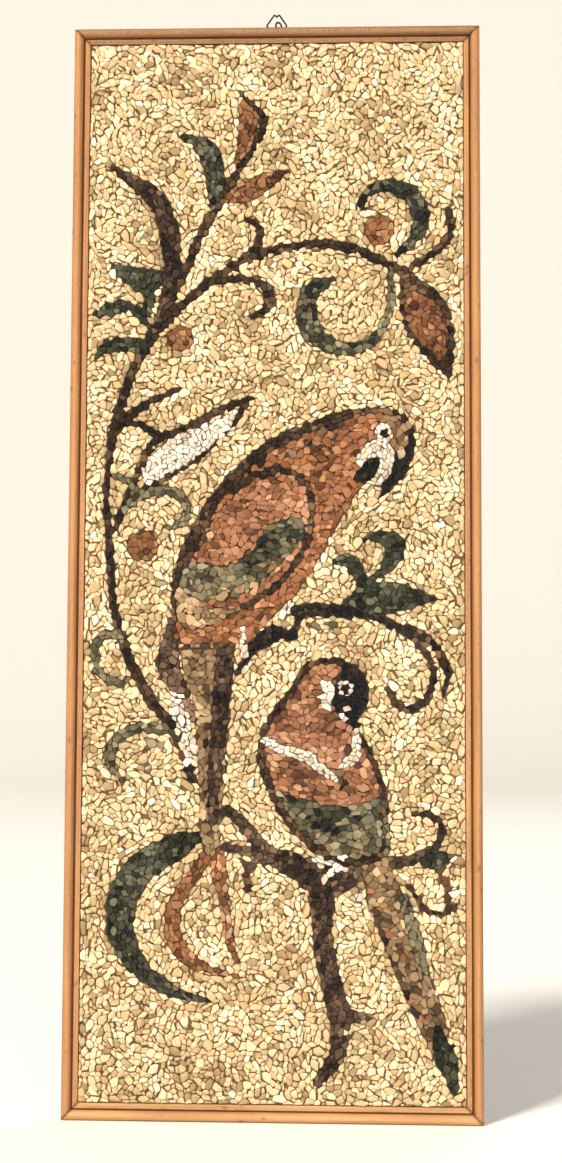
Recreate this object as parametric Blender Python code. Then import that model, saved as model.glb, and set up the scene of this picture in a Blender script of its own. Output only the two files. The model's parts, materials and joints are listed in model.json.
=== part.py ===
"""Wall panel of stone chips: two parrots in scrolling foliage, in a narrow mitred wooden frame.

Metres, +Z up, the picture faces -Y. The origin is the point where the wall's nail carries the
wire ring. The picture is drawn on a grid of its own, 100 units across and 280 down from its
top left corner, and each outline is a band, leaf, disc or loop through a few points of it.
"""

import math
from dataclasses import dataclass

import bmesh
import bpy
import numpy as np
from mathutils import Matrix, Vector, geometry

# Frame
PANEL_WIDTH = 0.400
PANEL_HEIGHT = 1.060
RAIL_WIDTH = 0.016
SHOULDER_DEPTH = 0.0125
BEAD_WIDTH = 0.0093
BEAD_RISE = 0.0055
GROOVE_WIDTH = 0.0017
GROOVE_DEPTH = 0.0022
LIP_DEPTH = 0.0146
LIP_CHAMFER = 0.0005
REBATE_WIDTH = 0.007
REBATE_DEPTH = 0.0075

# Board, bed and chips
BOARD_THICKNESS = 0.005
BED_THICKNESS = 0.0015
CHIP_THICKNESS = 0.0045

# Wire hanger: a screw eye in the top rail, and the ring that goes through it
EYE_HOLE = 0.006
EYE_WIRE = 0.0018
EYE_TURN = math.radians(45)
EYE_FROM_WALL = 0.004
EYE_OFFSET = 0.002
SHANK_LENGTH = 0.006
RING_WIRE = 0.002
RING_BASE = 0.0232
RING_TOP = 0.0042
RING_VALLEY = 0.0032
RING_BEND = 0.00115
RING_CORNER = 0.0022
NAIL_ABOVE_RAIL = 0.0141

# Gap between pieces
CLEARANCE = 0.0003

# Places that follow from the sizes, with depths counted forward from the wall
OPENING_WIDTH = PANEL_WIDTH - 2 * RAIL_WIDTH
OPENING_HEIGHT = PANEL_HEIGHT - 2 * RAIL_WIDTH
EYE_RADIUS = (EYE_HOLE + EYE_WIRE) / 2
EYE_HEIGHT = CLEARANCE + EYE_RADIUS + EYE_WIRE / 2
RING_BAR_HEIGHT = EYE_HEIGHT - EYE_HOLE / 2 + CLEARANCE + RING_WIRE / 2
DIP_ANGLE = math.atan2(RING_TOP / 2, RING_VALLEY)
DIP_RISE = RING_BEND * (1 / math.sin(DIP_ANGLE) - 1)
RING_CREST = NAIL_ABOVE_RAIL + RING_WIRE / 2 - RING_BAR_HEIGHT - DIP_RISE + RING_VALLEY
TOP_Z = -NAIL_ABOVE_RAIL
WALL_Y = EYE_FROM_WALL
MIDDLE_Z = TOP_Z - PANEL_HEIGHT / 2
BED_BACK = REBATE_DEPTH
FLOOR_DEPTH = BED_BACK + BED_THICKNESS
CHIP_FRONT = FLOOR_DEPTH + CHIP_THICKNESS

# Fineness of the curves
GRID_ACROSS = 100
GRID_DOWN = 280
SPAN_STEPS = 10
OUTLINE_TOLERANCE = 0.23
FEWEST_POINTS = 6
DISC_STEPS = 48
LEAF_STEPS = 24
LEAF_FULLNESS = 0.8
CAP_TURNS = (-45, 0, 45)
BEAD_STEPS = 8
WIRE_SIDES = 8
EYE_STEPS = 18
CORNER_STEPS = 3
FLAT_ANGLE = math.radians(0.5)
SMOOTH_ANGLE = math.radians(35)

# Colour, roughness and metallic value of each finish
FINISHES = {
    "wood": ((0.36, 0.18, 0.07), 0.45, 0.0),
    "board": ((0.20, 0.12, 0.06), 0.80, 0.0),
    "black_wire": ((0.02, 0.02, 0.02), 0.40, 0.6),
    "cream_stone": ((0.66, 0.52, 0.31), 0.75, 0.0),
    "white_stone": ((0.74, 0.68, 0.58), 0.70, 0.0),
    "terracotta_stone": ((0.33, 0.14, 0.07), 0.80, 0.0),
    "brick_stone": ((0.24, 0.10, 0.06), 0.80, 0.0),
    "rose_stone": ((0.40, 0.20, 0.11), 0.80, 0.0),
    "brown_stone": ((0.11, 0.06, 0.035), 0.75, 0.0),
    "mauve_stone": ((0.16, 0.10, 0.075), 0.75, 0.0),
    "tan_stone": ((0.32, 0.21, 0.12), 0.80, 0.0),
    "green_stone": ((0.085, 0.095, 0.06), 0.75, 0.0),
    "sage_stone": ((0.15, 0.15, 0.10), 0.75, 0.0),
    "black_stone": ((0.035, 0.03, 0.028), 0.65, 0.0),
}


def smooth_line(points, closed=False):
    """Catmull-Rom line through the points: each span leans on the points before and after it."""
    points = np.array(points, float)
    if closed:
        padded = np.vstack([points[-1:], points, points[:2]])
    else:
        before = 2 * points[:1] - points[1:2]
        after = 2 * points[-1:] - points[-2:-1]
        padded = np.vstack([before, points, after])
    t = np.linspace(0, 1, SPAN_STEPS, endpoint=False)[:, None]
    spans = []
    for p, a, b, n in zip(padded, padded[1:], padded[2:], padded[3:]):
        linear = (b - p) * t
        square = (2 * p - 5 * a + 4 * b - n) * t**2
        cubic = (3 * a - p - 3 * b + n) * t**3
        spans.append((2 * a + linear + square + cubic) / 2)
    if not closed:
        spans.append(points[-1:])
    return np.vstack(spans)


def thin(loop):
    """Drops the points of a closed outline that lie almost on the line between their neighbours."""
    while len(loop) > FEWEST_POINTS:
        before = np.roll(loop, 1, axis=0)
        after = np.roll(loop, -1, axis=0)
        chord = after - before
        step = loop - before
        offset = np.abs(chord[:, 0] * step[:, 1] - chord[:, 1] * step[:, 0])
        offset /= np.hypot(chord[:, 0], chord[:, 1])
        nearest = int(offset.argmin())
        if offset[nearest] > OUTLINE_TOLERANCE:
            break
        loop = np.delete(loop, nearest, axis=0)
    return loop


def loop(*points):
    """Closed smooth outline through the points."""
    return thin(smooth_line(points, closed=True))


def disc(across, down, radius):
    """Round outline about a point."""
    turn = np.linspace(0, 2 * math.pi, DISC_STEPS, endpoint=False)
    return thin(np.c_[across + radius * np.cos(turn), down + radius * np.sin(turn)])


def band(*points):
    """Outline of a band along a smooth line, each point given as (across, down, width), with round ends."""
    line = smooth_line(points)
    centre, half = line[:, :2], line[:, 2:] / 2
    along = np.gradient(centre, axis=0)
    along /= np.hypot(along[:, 0], along[:, 1])[:, None]
    side = np.c_[-along[:, 1], along[:, 0]]
    turn = np.radians(CAP_TURNS)[:, None]
    end_cap = centre[-1] + half[-1] * (np.cos(turn) * along[-1] - np.sin(turn) * side[-1])
    start_cap = centre[0] - half[0] * (np.cos(turn) * along[0] - np.sin(turn) * side[0])
    left = centre + half * side
    right = (centre - half * side)[::-1]
    return thin(np.vstack([left, end_cap, right, start_cap]))


def leaf(base, tip, left, right):
    """Leaf outline from base to tip, its two sides bulging by these widths as sine arches."""
    base, tip = np.array(base, float), np.array(tip, float)
    side = np.array([base[1] - tip[1], tip[0] - base[0]])
    side /= np.hypot(*side)
    t = np.linspace(0, 1, LEAF_STEPS)[:, None]
    spine = base + (tip - base) * t
    arch = np.sin(math.pi * t**LEAF_FULLNESS)
    outward = (spine + side * right * arch)[:-1]
    homeward = (spine - side * left * arch)[:0:-1]
    return thin(np.vstack([outward, homeward]))


@dataclass(frozen=True)
class Area:
    """One patch of the picture laid in one kind of stone: its outlines, and what it stays within."""

    name: str
    finish: str
    outlines: tuple
    within: tuple = ()


# Lines that two areas share
UPPER_BACK = [
    (24, 160), (23.7, 147), (26.8, 138), (30.6, 130), (34.8, 122.8), (41.4, 115.2), (49, 109), (57.4, 105),
    (68, 101),
]
UPPER_CROWN = [(77, 99.6), (83, 101), (86.2, 104.6)]
UPPER_BREAST = [(84, 110), (79, 117), (73, 120), (68.4, 127), (63.2, 136), (57, 147), (48, 156), (41, 161)]
LOWER_SHAPE = [
    (64.5, 164.9), (70, 166), (74.2, 169.8), (74.8, 176), (72.2, 182.6), (76, 189.4), (79, 197.6),
    (80.1, 206),
    (79.6, 216), (70, 219), (60, 215), (51.6, 206), (47.4, 197), (45.8, 188), (48.6, 180.6), (54.2, 173.4),
    (58, 166.8),
]
LOWER_CORE = [
    (64.5, 166.6), (69, 167.6), (72.8, 171), (73.2, 176), (70.6, 182.8), (74.4, 190), (77.3, 198),
    (78.4, 206),
    (78, 214.6), (70, 217), (61, 213.4), (53.4, 205), (49.2, 196.2), (47.4, 188), (50.2, 181.4),
    (55.6, 174.4), (59.4, 168.2),
]


def foliage():
    """The vine of brown chips with its leaves, scrolls and berries, in the upper half and down the left."""
    vine = (
        band((29, 197, 2.6), (24, 184, 2.6), (17, 175, 2.8), (11, 163, 2.6), (7.6, 150, 2.2),
             (6.9, 138, 2.2),
             (5.9, 130, 1.8), (5.4, 121, 1.8), (6.3, 112, 1.8), (7.4, 103.6, 2.4), (11.2, 91.6, 2.4),
             (13.8, 86, 2.4), (16.6, 80.6, 3), (19, 76.6, 3), (22.4, 72, 2.2)),
        band((18.6, 78, 2.2), (22.6, 74.4, 2.4), (27, 69.8, 2.2), (35.4, 62.8, 2.4), (42, 59, 2.4),
             (51, 56, 2.4),
             (61, 54.8, 2.4), (70, 55.9, 2.4), (77.6, 59.2, 2.4), (83.2, 62, 2.4), (86.6, 65, 2.4)),
        band((22, 71, 2.2), (26.4, 61, 2.4), (30.2, 52, 2.4), (34.4, 44.6, 2.4), (38.4, 37, 2.4), (43, 30, 1.6),
             (46.4, 24, 2), (46.4, 19.8, 2.2), (42.6, 16.4, 2), (40.2, 12.8, 1)),
        band((41, 59, 2), (45, 55.5, 2), (45.8, 50.5, 2), (42, 47.6, 1.4)),
        band((33, 65.2, 1.6), (41, 64, 2), (46.6, 65.6, 2.4), (48.6, 69.4, 3.2), (47, 73.2, 2),
             (44, 74.2, 1.4)),
        band((84.4, 62.4, 1.8), (88, 59.8, 2), (93, 56.8, 2), (96.3, 52, 2.2), (96, 45.6, 2)),
        band((7.8, 103.6, 2), (13, 99.6, 2.2), (18, 96.6, 2), (25, 93.6, 1.6)),
        band((7, 106, 2), (10, 103.2, 2.2), (14.4, 103.4, 2), (18.6, 105.8, 1.8), (20, 107, 1.6)),
        band((6.6, 134, 1.8), (9.4, 128, 2.2), (12.2, 120.4, 2.2), (15.2, 112.6, 1.8), (18.4, 107.8, 1.8),
             (24, 105, 1.8), (30.6, 102.2, 1.8), (36.6, 98.8, 2), (43.6, 96.4, 1.8)),
        band((43, 97, 1.6), (39.6, 102.2, 2), (35, 107.2, 2), (30.6, 111.6, 1.8), (25.4, 115, 1.6),
             (19, 118.8, 1.6), (13.6, 121.4, 1.8), (10.8, 125, 2)),
    )
    edge = leaf((84.4, 63.2), (96.4, 92), 7.2, 5.6)
    return [
        Area("vine", "brown_stone", vine),
        Area("crown_leaf", "mauve_stone", (
            band((6, 33.6, 1.4), (11, 37, 3), (16, 40.4, 4.6), (19.8, 45, 5.2), (21.6, 50.6, 5.2),
                 (22.4, 59, 4.6), (21.8, 67, 3.6), (18.8, 75.4, 2.2)),)),
        Area("tulip_leaf", "brick_stone", (
            loop((38.6, 34), (39.6, 28), (40, 20), (40.8, 15.4), (44.6, 18.8), (45.2, 23), (42.8, 29.4)),)),
        Area("tall_leaf", "green_stone", (
            band((24.2, 25.4, 1.4), (28.6, 26.6, 3.4), (32.2, 30, 5.6), (33.8, 36, 5.2), (33.8, 41, 3.8),
                 (33.2, 45, 2)),)),
        Area("small_leaf", "brick_stone", (leaf((36, 43.2), (54.2, 34.2), 2.7, 3.1),)),
        Area("left_leaf_upper", "green_stone", (
            loop((6.4, 60.2), (11, 60.6), (16, 61.4), (20.4, 61.8), (19.8, 65.4), (17.4, 68.8),
                 (17, 74.4), (15.2, 74.2), (14.8, 68.8), (11.4, 66.2), (8.6, 63.8)),)),
        Area("left_leaf_middle", "green_stone", (
            band((16.4, 77.4, 1.6), (14.2, 73.8, 2.6), (11, 71.5, 2.8), (7, 72, 3.6), (2.8, 73.4, 2.2)),)),
        Area("left_leaf_lower", "green_stone", (
            loop((2, 86), (3.4, 82), (6.8, 79.9), (12, 79.9), (16, 81.4), (14.6, 84.6), (9, 83.7),
                 (5, 84.2)),)),
        Area("berry_left", "terracotta_stone", (disc(24.9, 80.3, 3.7),)),
        Area("berry_right", "terracotta_stone", (disc(77.6, 51, 4.1),)),
        Area("berry_lower", "terracotta_stone", (disc(15.4, 135.6, 4.3),)),
        Area("crescent_leaf", "green_stone", (
            band((72.8, 44.8, 1.8), (74.2, 41.2, 2.6), (79, 39.2, 3.2), (84.4, 40.4, 4.4), (88, 44.6, 4.8),
                 (88.6, 49.6, 4.4), (86.6, 54, 2.8), (82.4, 57.6, 1.8)),)),
        Area("ring_scroll", "sage_stone", (
            band((65.4, 64.4, 1.8), (60.4, 66.8, 4.2), (58.2, 72, 5.6), (59.6, 78.2, 5.4), (65, 82.4, 4),
                 (71.6, 83.2, 3), (77, 79.6, 2.8), (80.2, 73.4, 2.2), (80.8, 67, 1.8),
                 (80.6, 61.6, 1.6)),)),
        Area("drop_leaf_edge", "brown_stone", (edge,)),
        Area("drop_leaf", "brick_stone", (leaf((85.4, 67.4), (95, 87.6), 5.4, 4.2),)),
        Area("pale_leaf", "white_stone", (
            loop((40.4, 99), (34.7, 102.2), (28, 105.2), (22.4, 107.4), (18, 111.4), (15.2, 117.4),
                 (16.2, 119.4), (21.6, 116.8), (27.6, 113.4), (33.4, 108.8), (38.2, 103.8)),)),
        Area("left_curl", "sage_stone", (
            band((10.6, 126, 2), (13.6, 122.8, 2.4), (18.6, 121.2, 2.4), (23.6, 121.4, 2.4),
                 (26.6, 124.4, 2.2), (26.4, 129, 2.4), (22, 130.8, 1.6)),
            band((8.2, 117.2, 2.2), (10.6, 118, 2.2), (12.8, 120.4, 2), (12.4, 124, 2)),)),
        Area("left_scroll_upper", "sage_stone", (
            band((10.2, 160.4, 1.8), (6.4, 158.8, 2.2), (3.2, 162.2, 2.4), (4, 168.6, 2.4), (9, 171.8, 2),
                 (13, 170.4, 1.6)),)),
        Area("left_scroll_lower", "sage_stone", (
            band((21.6, 184, 3), (14.4, 183.6, 2.6), (8.4, 187, 3), (7.4, 192.6, 2.8), (10.6, 197, 1.6)),)),
    ]


def branches():
    """The branch that each parrot holds, with its hooks and leaves, and the two crescents at the lower left."""
    upper = (
        band((40.4, 168.8, 1.4), (43.2, 165, 2), (45.6, 161.6, 3.6), (50, 158.8, 4.2), (55.4, 159.2, 2)),
        band((54.6, 159.6, 1.8), (56.2, 156.6, 1.8), (57.4, 153, 2.4)),
        band((55.6, 152.8, 3), (60, 152.3, 3.8), (65, 152.5, 3.4), (70, 153.2, 2.6), (76, 154, 2.4),
             (81, 156.2, 2.2),
             (86.4, 159.6, 2), (90.2, 164.6, 1.8), (91.8, 170, 2), (89.8, 176, 2), (85, 178.6, 2),
             (81.8, 176.4, 2), (80, 172.6, 1.6)),
        band((82.6, 156.4, 1.6), (87.6, 158.2, 1.8), (91.4, 160.8, 1.8), (94.2, 165.4, 1.8),
             (95.6, 169.4, 1.8), (94.2, 175, 1.6)),
    )
    sprig = (
        leaf((67.5, 150.8), (93.8, 149.6), 5.2, 3.2),
        band((73.4, 133.8, 1.4), (78, 133, 3), (81.6, 134.8, 5), (81.2, 138.6, 4.6), (78.6, 141.8, 2.2),
             (75, 145, 1.8), (72, 149, 2)),
        band((66, 139.8, 2), (69.4, 139.6, 4), (71.8, 142.2, 4), (73, 146, 2.6), (74, 149, 2)),
    )
    perch = (
        band((36.4, 204.4, 2.4), (41.4, 207.2, 2.8), (45, 212, 3.2), (50, 216.6, 4.6), (56, 219.2, 6.4),
             (63.4, 223.2, 8.2), (70, 221.6, 5.6), (76, 219, 4)),
        band((37.6, 214.4, 2.2), (43, 215.2, 2.6), (49, 217, 4)),
        band((63, 223, 8), (62.8, 229.6, 5.8), (62.8, 236, 4.8), (63.8, 242.6, 5.2), (65.4, 250, 5.4),
             (67.4, 257, 5.8), (67.6, 262.4, 4.4), (66.4, 268, 4), (61.8, 274, 2.6)),
        band((68, 257.4, 3.4), (76, 257.4, 1.4)),
    )
    hooks = (
        band((78, 218.8, 3.4), (84, 217.6, 3), (90, 216.6, 2.4)),
        band((84, 217.6, 1.8), (91.4, 214.4, 1.8), (94, 209.4, 1.8), (91, 205.8, 1.8), (86, 205.4, 1.4)),
        band((89.6, 217.4, 1.6), (93.8, 220.8, 1.8), (95.2, 225, 1.8), (95.4, 229.4, 1.8), (92.8, 231, 1.6),
             (89, 229.2, 1.4)),
    )
    return [
        Area("upper_branch", "black_stone", upper),
        Area("sprig", "green_stone", sprig),
        Area("perch", "mauve_stone", perch),
        Area("perch_hooks", "mauve_stone", hooks),
        Area("perch_leaf", "green_stone", (leaf((87.4, 218), (97.8, 215.6), 1.8, 2.8),)),
        Area("great_crescent", "green_stone", (
            band((30, 212, 3.4), (26, 213.8, 6.6), (20.2, 216.8, 7.6), (14.6, 221.2, 7.8), (11, 228, 7.6),
                 (10.4, 235, 7), (12.4, 241, 6), (16.6, 246.6, 4.6), (23.2, 251, 3.2), (29, 253.1, 2),
                 (34.4, 253.7, 1)),)),
        Area("amber_crescent", "terracotta_stone", (
            band((32.8, 216.6, 3.4), (29.4, 222.2, 3), (25.6, 227, 3.4), (24, 233, 4), (25, 239, 4.2),
                 (28.6, 243.4, 3.4), (34, 246, 1.8), (42, 247.6, 1)),)),
        Area("amber_plume", "terracotta_stone", (
            band((35.4, 216.2, 4.6), (36.6, 222.6, 3.4), (37.4, 229.4, 2.8), (38.4, 236, 2.4),
                 (40.6, 243, 1.6)),)),
    ]


def upper_parrot():
    """The parrot that leans up to the right: body, wing in four tones, head with its beak, and long tail."""
    body = loop(*UPPER_BACK, *UPPER_CROWN, *UPPER_BREAST)
    wing = loop((29.4, 143), (31.6, 134), (37, 124.6), (46, 118), (55, 117.4), (59, 122), (58.8, 133),
                (55, 141), (49.6, 146.8), (42, 151), (33, 152))
    widths = (1.2, 1.4, 3.6, 3.4, 3, 3, 3, 2.8, 2.4)
    back = [(x, y, width) for (x, y), width in zip(UPPER_BACK, widths)]
    crown = [(x, y, 1.6) for x, y in UPPER_CROWN]
    return [
        Area("upper_tail", "tan_stone", (
            loop((27, 156), (36, 157), (39.6, 166), (38.7, 182), (37.4, 198), (36.4, 212), (33.6, 217.4),
                 (31, 210), (30.6, 196), (29.6, 184), (26.4, 170)),)),
        Area("upper_tail_side", "mauve_stone", (
            band((36.6, 156, 6), (37.4, 166, 4.6), (36, 180, 4.4), (34.6, 196, 3.2), (34.4, 208, 2)),)),
        Area("upper_tail_feather", "mauve_stone", (
            band((24.4, 156, 4), (22.4, 163, 5), (22.8, 169.4, 5.6), (26.4, 174.4, 3.2),
                 (29.4, 181.6, 1.6)),)),
        Area("upper_body", "terracotta_stone", (body,)),
        Area("upper_flight", "tan_stone", (
            loop((24.6, 145), (30, 140), (44, 140), (57, 131), (56.6, 138.4), (50, 146.6), (41, 152.8),
                 (30, 157.6), (24.6, 155)),), (body,)),
        Area("upper_coverts", "rose_stone", (wing,), (body,)),
        Area("upper_wing_band", "sage_stone", (
            loop((50, 129.4), (56.8, 128.2), (57.4, 134), (51, 141), (43, 148), (31, 150), (25, 145.6),
                 (27.6, 140), (36, 141.2), (44, 137.6), (46.4, 133)),), (body,)),
        Area("upper_wing_edge", "brown_stone", (
            band((39, 121.4, 1.6), (45.4, 116.8, 2), (53, 115.6, 1.8), (58.4, 119.4, 1.8), (60, 126, 1.6),
                 (58.8, 134.4, 1.6), (55, 141.4, 1.8), (49.6, 147.2, 1.8), (42, 151.8, 1.6)),)),
        Area("upper_back_edge", "brown_stone", (band(*back, *crown),)),
        Area("upper_beak", "black_stone", (
            band((86.2, 104.8, 1.8), (84.8, 109.6, 4), (83.2, 114.6, 4.6), (80.6, 118.8, 3.2),
                 (77.8, 122.6, 1.2)),)),
        Area("upper_cheek", "white_stone", (
            loop((74, 108.6), (78, 107.4), (81.2, 109.4), (81.2, 115), (78, 119.6), (74.8, 117.4),
                 (71.6, 113.4)),)),
        Area("upper_jaw", "black_stone", (
            loop((77.2, 111.6), (77.9, 114), (76.6, 117.2), (73.4, 118.8), (70.8, 117.6), (73.4, 114.2)),)),
        Area("upper_eye_ring", "white_stone", (disc(78.9, 105.7, 2.5),)),
        Area("upper_pupil", "black_stone", (disc(78.9, 105.7, 1.2),)),
    ]


def lower_parrot():
    """The parrot that sits on the perch: dark outline, body, necklace, belly, face mask and tail."""
    core = loop(*LOWER_CORE)
    return [
        Area("lower_tail", "tan_stone", (
            band((76, 218, 7), (79.8, 229, 9.4), (84, 240, 9), (87.8, 250.4, 8.2), (91.8, 260.4, 6.4),
                 (95, 270, 4.4), (96.6, 275.6, 2)),)),
        Area("lower_tail_side", "sage_stone", (
            band((84, 227, 2.6), (86, 234, 3.6), (87.8, 240.6, 3.2), (89.6, 246, 1.6)),)),
        Area("lower_tail_tip", "green_stone", (
            band((92.6, 260.4, 2.2), (94.6, 267.6, 5.6), (96.8, 275.8, 2.4)),)),
        Area("lower_outline", "brown_stone", (loop(*LOWER_SHAPE),)),
        Area("lower_body", "brick_stone", (core,)),
        Area("lower_belly", "sage_stone", (
            loop((44, 198.6), (54, 201), (65, 203.4), (72, 203.2), (84, 201), (84, 222), (44, 222)),),
                 (core,)),
        Area("lower_mask", "black_stone", (
            loop((66.8, 169.4), (70.4, 165.6), (76, 169.6), (76, 176), (73.6, 181), (70.8, 183.2),
                 (67.4, 180.8), (65.6, 177), (66, 173)),), (loop(*LOWER_SHAPE),)),
        Area("necklace_left", "white_stone", (
            band((47.8, 186.6, 2), (53, 189.2, 2), (59, 190.8, 3.2), (62, 193.6, 2.8),
                 (66.4, 196.6, 1.8)),)),
        Area("necklace_right", "white_stone", (
            band((71.6, 184.4, 2), (71.8, 188, 2.2), (71, 191, 2.8), (67.6, 193.4, 2)),)),
        Area("lower_eye_ring", "white_stone", (disc(68.8, 173, 2.3),)),
        Area("lower_pupil", "black_stone", (disc(68.8, 173, 1.1),)),
    ]


def to_panel(points):
    """Grid points as (x, z) in metres about the picture's centre."""
    points = np.asarray(points, float)
    x = (points[:, 0] / GRID_ACROSS - 0.5) * OPENING_WIDTH
    z = (0.5 - points[:, 1] / GRID_DOWN) * OPENING_HEIGHT
    return np.c_[x, z]


def inside(points, outline):
    """Which points lie in a closed outline, by the number of its edges that a ray crosses."""
    start, end = outline, np.roll(outline, -1, axis=0)
    x, z = points[:, 0, None], points[:, 1, None]
    spans = (start[:, 1] > z) != (end[:, 1] > z)
    rise = np.where(end[:, 1] == start[:, 1], 1, end[:, 1] - start[:, 1])
    crossing = start[:, 0] + (z - start[:, 1]) * (end[:, 0] - start[:, 0]) / rise
    return (spans & (x < crossing)).sum(axis=1) % 2 == 1


def joined_patch(triangles, sizes, wanted):
    """The wanted triangles that hang together by their edges in the largest patch."""
    owners = {}
    for index in wanted:
        for edge in range(3):
            key = frozenset((triangles[index][edge], triangles[index][edge - 1]))
            owners.setdefault(key, []).append(index)
    links = {index: set() for index in wanted}
    for pair in owners.values():
        for index in pair:
            links[index].update(pair)
    patches = []
    left = set(wanted)
    while left:
        reached = {left.pop()}
        front = set(reached)
        while front:
            front = set().union(*(links[index] for index in front)) - reached
            reached |= front
        left -= reached
        patches.append(reached)
    return list(max(patches, key=lambda patch: sizes[list(patch)].sum()))


def picture_map(areas):
    """Cuts the opening into triangles along every outline, and says which area each belongs to.

    Later areas lie over earlier ones, and each keeps its largest patch, so that it is one piece.
    What is cut off from it falls to the area below. A triangle of no area is background and gets -1.
    """
    half_x = OPENING_WIDTH / 2 - CLEARANCE
    half_z = OPENING_HEIGHT / 2 - CLEARANCE
    outlines = [np.array([(-half_x, -half_z), (half_x, -half_z), (half_x, half_z), (-half_x, half_z)])]
    for area in areas:
        outlines += [to_panel(outline) for outline in (*area.outlines, *area.within)]
    corners, edges = [], []
    for outline in outlines:
        first = len(corners)
        count = len(outline)
        corners += [Vector(point) for point in outline]
        edges += [(first + i, first + (i + 1) % count) for i in range(count)]
    points, _, triangles, *_ = geometry.delaunay_2d_cdt(corners, edges, [], 0, CLEARANCE)
    points = np.array([tuple(point) for point in points])
    placed = points[np.array(triangles)]
    centres = placed.mean(axis=1)
    first, second = placed[:, 1] - placed[:, 0], placed[:, 2] - placed[:, 0]
    sizes = np.abs(first[:, 0] * second[:, 1] - first[:, 1] * second[:, 0]) / 2
    owner = np.full(len(triangles), -1)
    for number, area in reversed(list(enumerate(areas))):
        covered = np.any([inside(centres, to_panel(outline)) for outline in area.outlines], axis=0)
        for limit in area.within:
            covered &= inside(centres, to_panel(limit))
        free = np.flatnonzero(covered & (owner < 0)).tolist()
        owner[joined_patch(triangles, sizes, free)] = number
    return points, triangles, owner


def finish_of(name):
    """Principled material of a named finish."""
    found = bpy.data.materials.get(name)
    if found:
        return found
    colour, roughness, metallic = FINISHES[name]
    material = bpy.data.materials.new(name)
    material.use_nodes = True
    shader = material.node_tree.nodes["Principled BSDF"]
    shader.inputs["Base Color"].default_value = (*colour, 1)
    shader.inputs["Roughness"].default_value = roughness
    shader.inputs["Metallic"].default_value = metallic
    return material


def new_object(name, mesh_source, finish, parent=None, location=(0, 0, 0)):
    """Object of a bmesh, with its finish, and smooth where its faces turn gently."""
    mesh = bpy.data.meshes.new(name)
    mesh_source.to_mesh(mesh)
    mesh_source.free()
    mesh.shade_smooth()
    mesh.set_sharp_from_angle(angle=SMOOTH_ANGLE)
    mesh.materials.append(finish_of(finish))
    made = bpy.data.objects.new(name, mesh)
    bpy.context.scene.collection.objects.link(made)
    made.parent = parent
    made.location = location
    return made


def flat_mesh(points, triangles, wanted, depth, marked=()):
    """Triangles of the picture as a flat mesh at a depth from the wall, merged where the mark is the same."""
    flat = bmesh.new()
    corners = {}
    marked = set(marked)
    for index in wanted:
        for corner in triangles[index]:
            if corner not in corners:
                x, z = points[corner]
                corners[corner] = flat.verts.new((x, WALL_Y - depth, z))
        face = flat.faces.new([corners[corner] for corner in triangles[index]])
        face.material_index = int(index in marked)
    bmesh.ops.recalc_face_normals(flat, faces=flat.faces)
    bmesh.ops.dissolve_limit(
        flat, angle_limit=FLAT_ANGLE, verts=flat.verts, edges=flat.edges, delimit={"MATERIAL"}
    )
    return flat


def pushed_out(mesh, faces, thickness):
    """Extrudes faces forward, and returns the new ones."""
    grown = bmesh.ops.extrude_face_region(mesh, geom=faces)["geom"]
    corners = [item for item in grown if isinstance(item, bmesh.types.BMVert)]
    bmesh.ops.translate(mesh, vec=(0, -thickness, 0), verts=corners)
    return [item for item in grown if isinstance(item, bmesh.types.BMFace)]


def stone_area(area, points, triangles, wanted, parent):
    """One area of the picture: half a joint inside its outline, standing in its pocket of the bed."""
    depth = FLOOR_DEPTH + CLEARANCE
    patch = flat_mesh(points, triangles, wanted, depth)
    rim = bmesh.ops.inset_region(
        patch, faces=patch.faces, thickness=CLEARANCE / 2, use_boundary=True, use_even_offset=True
    )["faces"]
    bmesh.ops.delete(patch, geom=rim, context="FACES")
    pushed_out(patch, patch.faces[:], CHIP_FRONT - depth)
    bmesh.ops.recalc_face_normals(patch, faces=patch.faces)
    new_object(area.name, patch, area.finish, parent)


def background(points, triangles, owner, parent):
    """The cream ground: chips fused with the bed that they are set in, with a pocket for every other area."""
    everything = range(len(triangles))
    field = flat_mesh(points, triangles, everything, FLOOR_DEPTH, np.flatnonzero(owner < 0).tolist())
    ground = [face for face in field.faces if face.material_index]
    bmesh.ops.inset_region(
        field, faces=ground, thickness=CLEARANCE / 2, use_boundary=False, use_even_offset=True
    )
    pushed_out(field, ground, CHIP_THICKNESS)
    bmesh.ops.delete(field, geom=ground, context="FACES_ONLY")
    rim = [edge for edge in field.edges if edge.is_boundary]
    grown = bmesh.ops.extrude_edge_only(field, edges=rim)["geom"]
    back = [item for item in grown if isinstance(item, bmesh.types.BMVert)]
    bmesh.ops.translate(field, vec=(0, BED_THICKNESS, 0), verts=back)
    bmesh.ops.holes_fill(field, edges=[edge for edge in field.edges if edge.is_boundary])
    for face in field.faces:
        face.material_index = 0
    bmesh.ops.recalc_face_normals(field, faces=field.faces)
    new_object("background_chips", field, "cream_stone", parent)


def rail_profile():
    """Moulding as (distance in from the outer edge, depth from the wall): bead, groove, lip and rebate."""
    turn = np.linspace(math.pi, 0, BEAD_STEPS + 1)
    half = BEAD_WIDTH / 2
    bead = [(half + half * math.cos(a), SHOULDER_DEPTH + BEAD_RISE * math.sin(a)) for a in turn]
    groove_end = BEAD_WIDTH + GROOVE_WIDTH
    groove_floor = min(LIP_DEPTH, SHOULDER_DEPTH + BEAD_RISE) - GROOVE_DEPTH
    bead[-1] = (BEAD_WIDTH, groove_floor)
    back = RAIL_WIDTH - REBATE_WIDTH
    return [
        (0, 0),
        *bead,
        (groove_end, groove_floor), (groove_end, LIP_DEPTH), (RAIL_WIDTH - LIP_CHAMFER, LIP_DEPTH),
        (RAIL_WIDTH, LIP_DEPTH - LIP_CHAMFER), (RAIL_WIDTH, REBATE_DEPTH), (back, REBATE_DEPTH), (back, 0),
    ]


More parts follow.
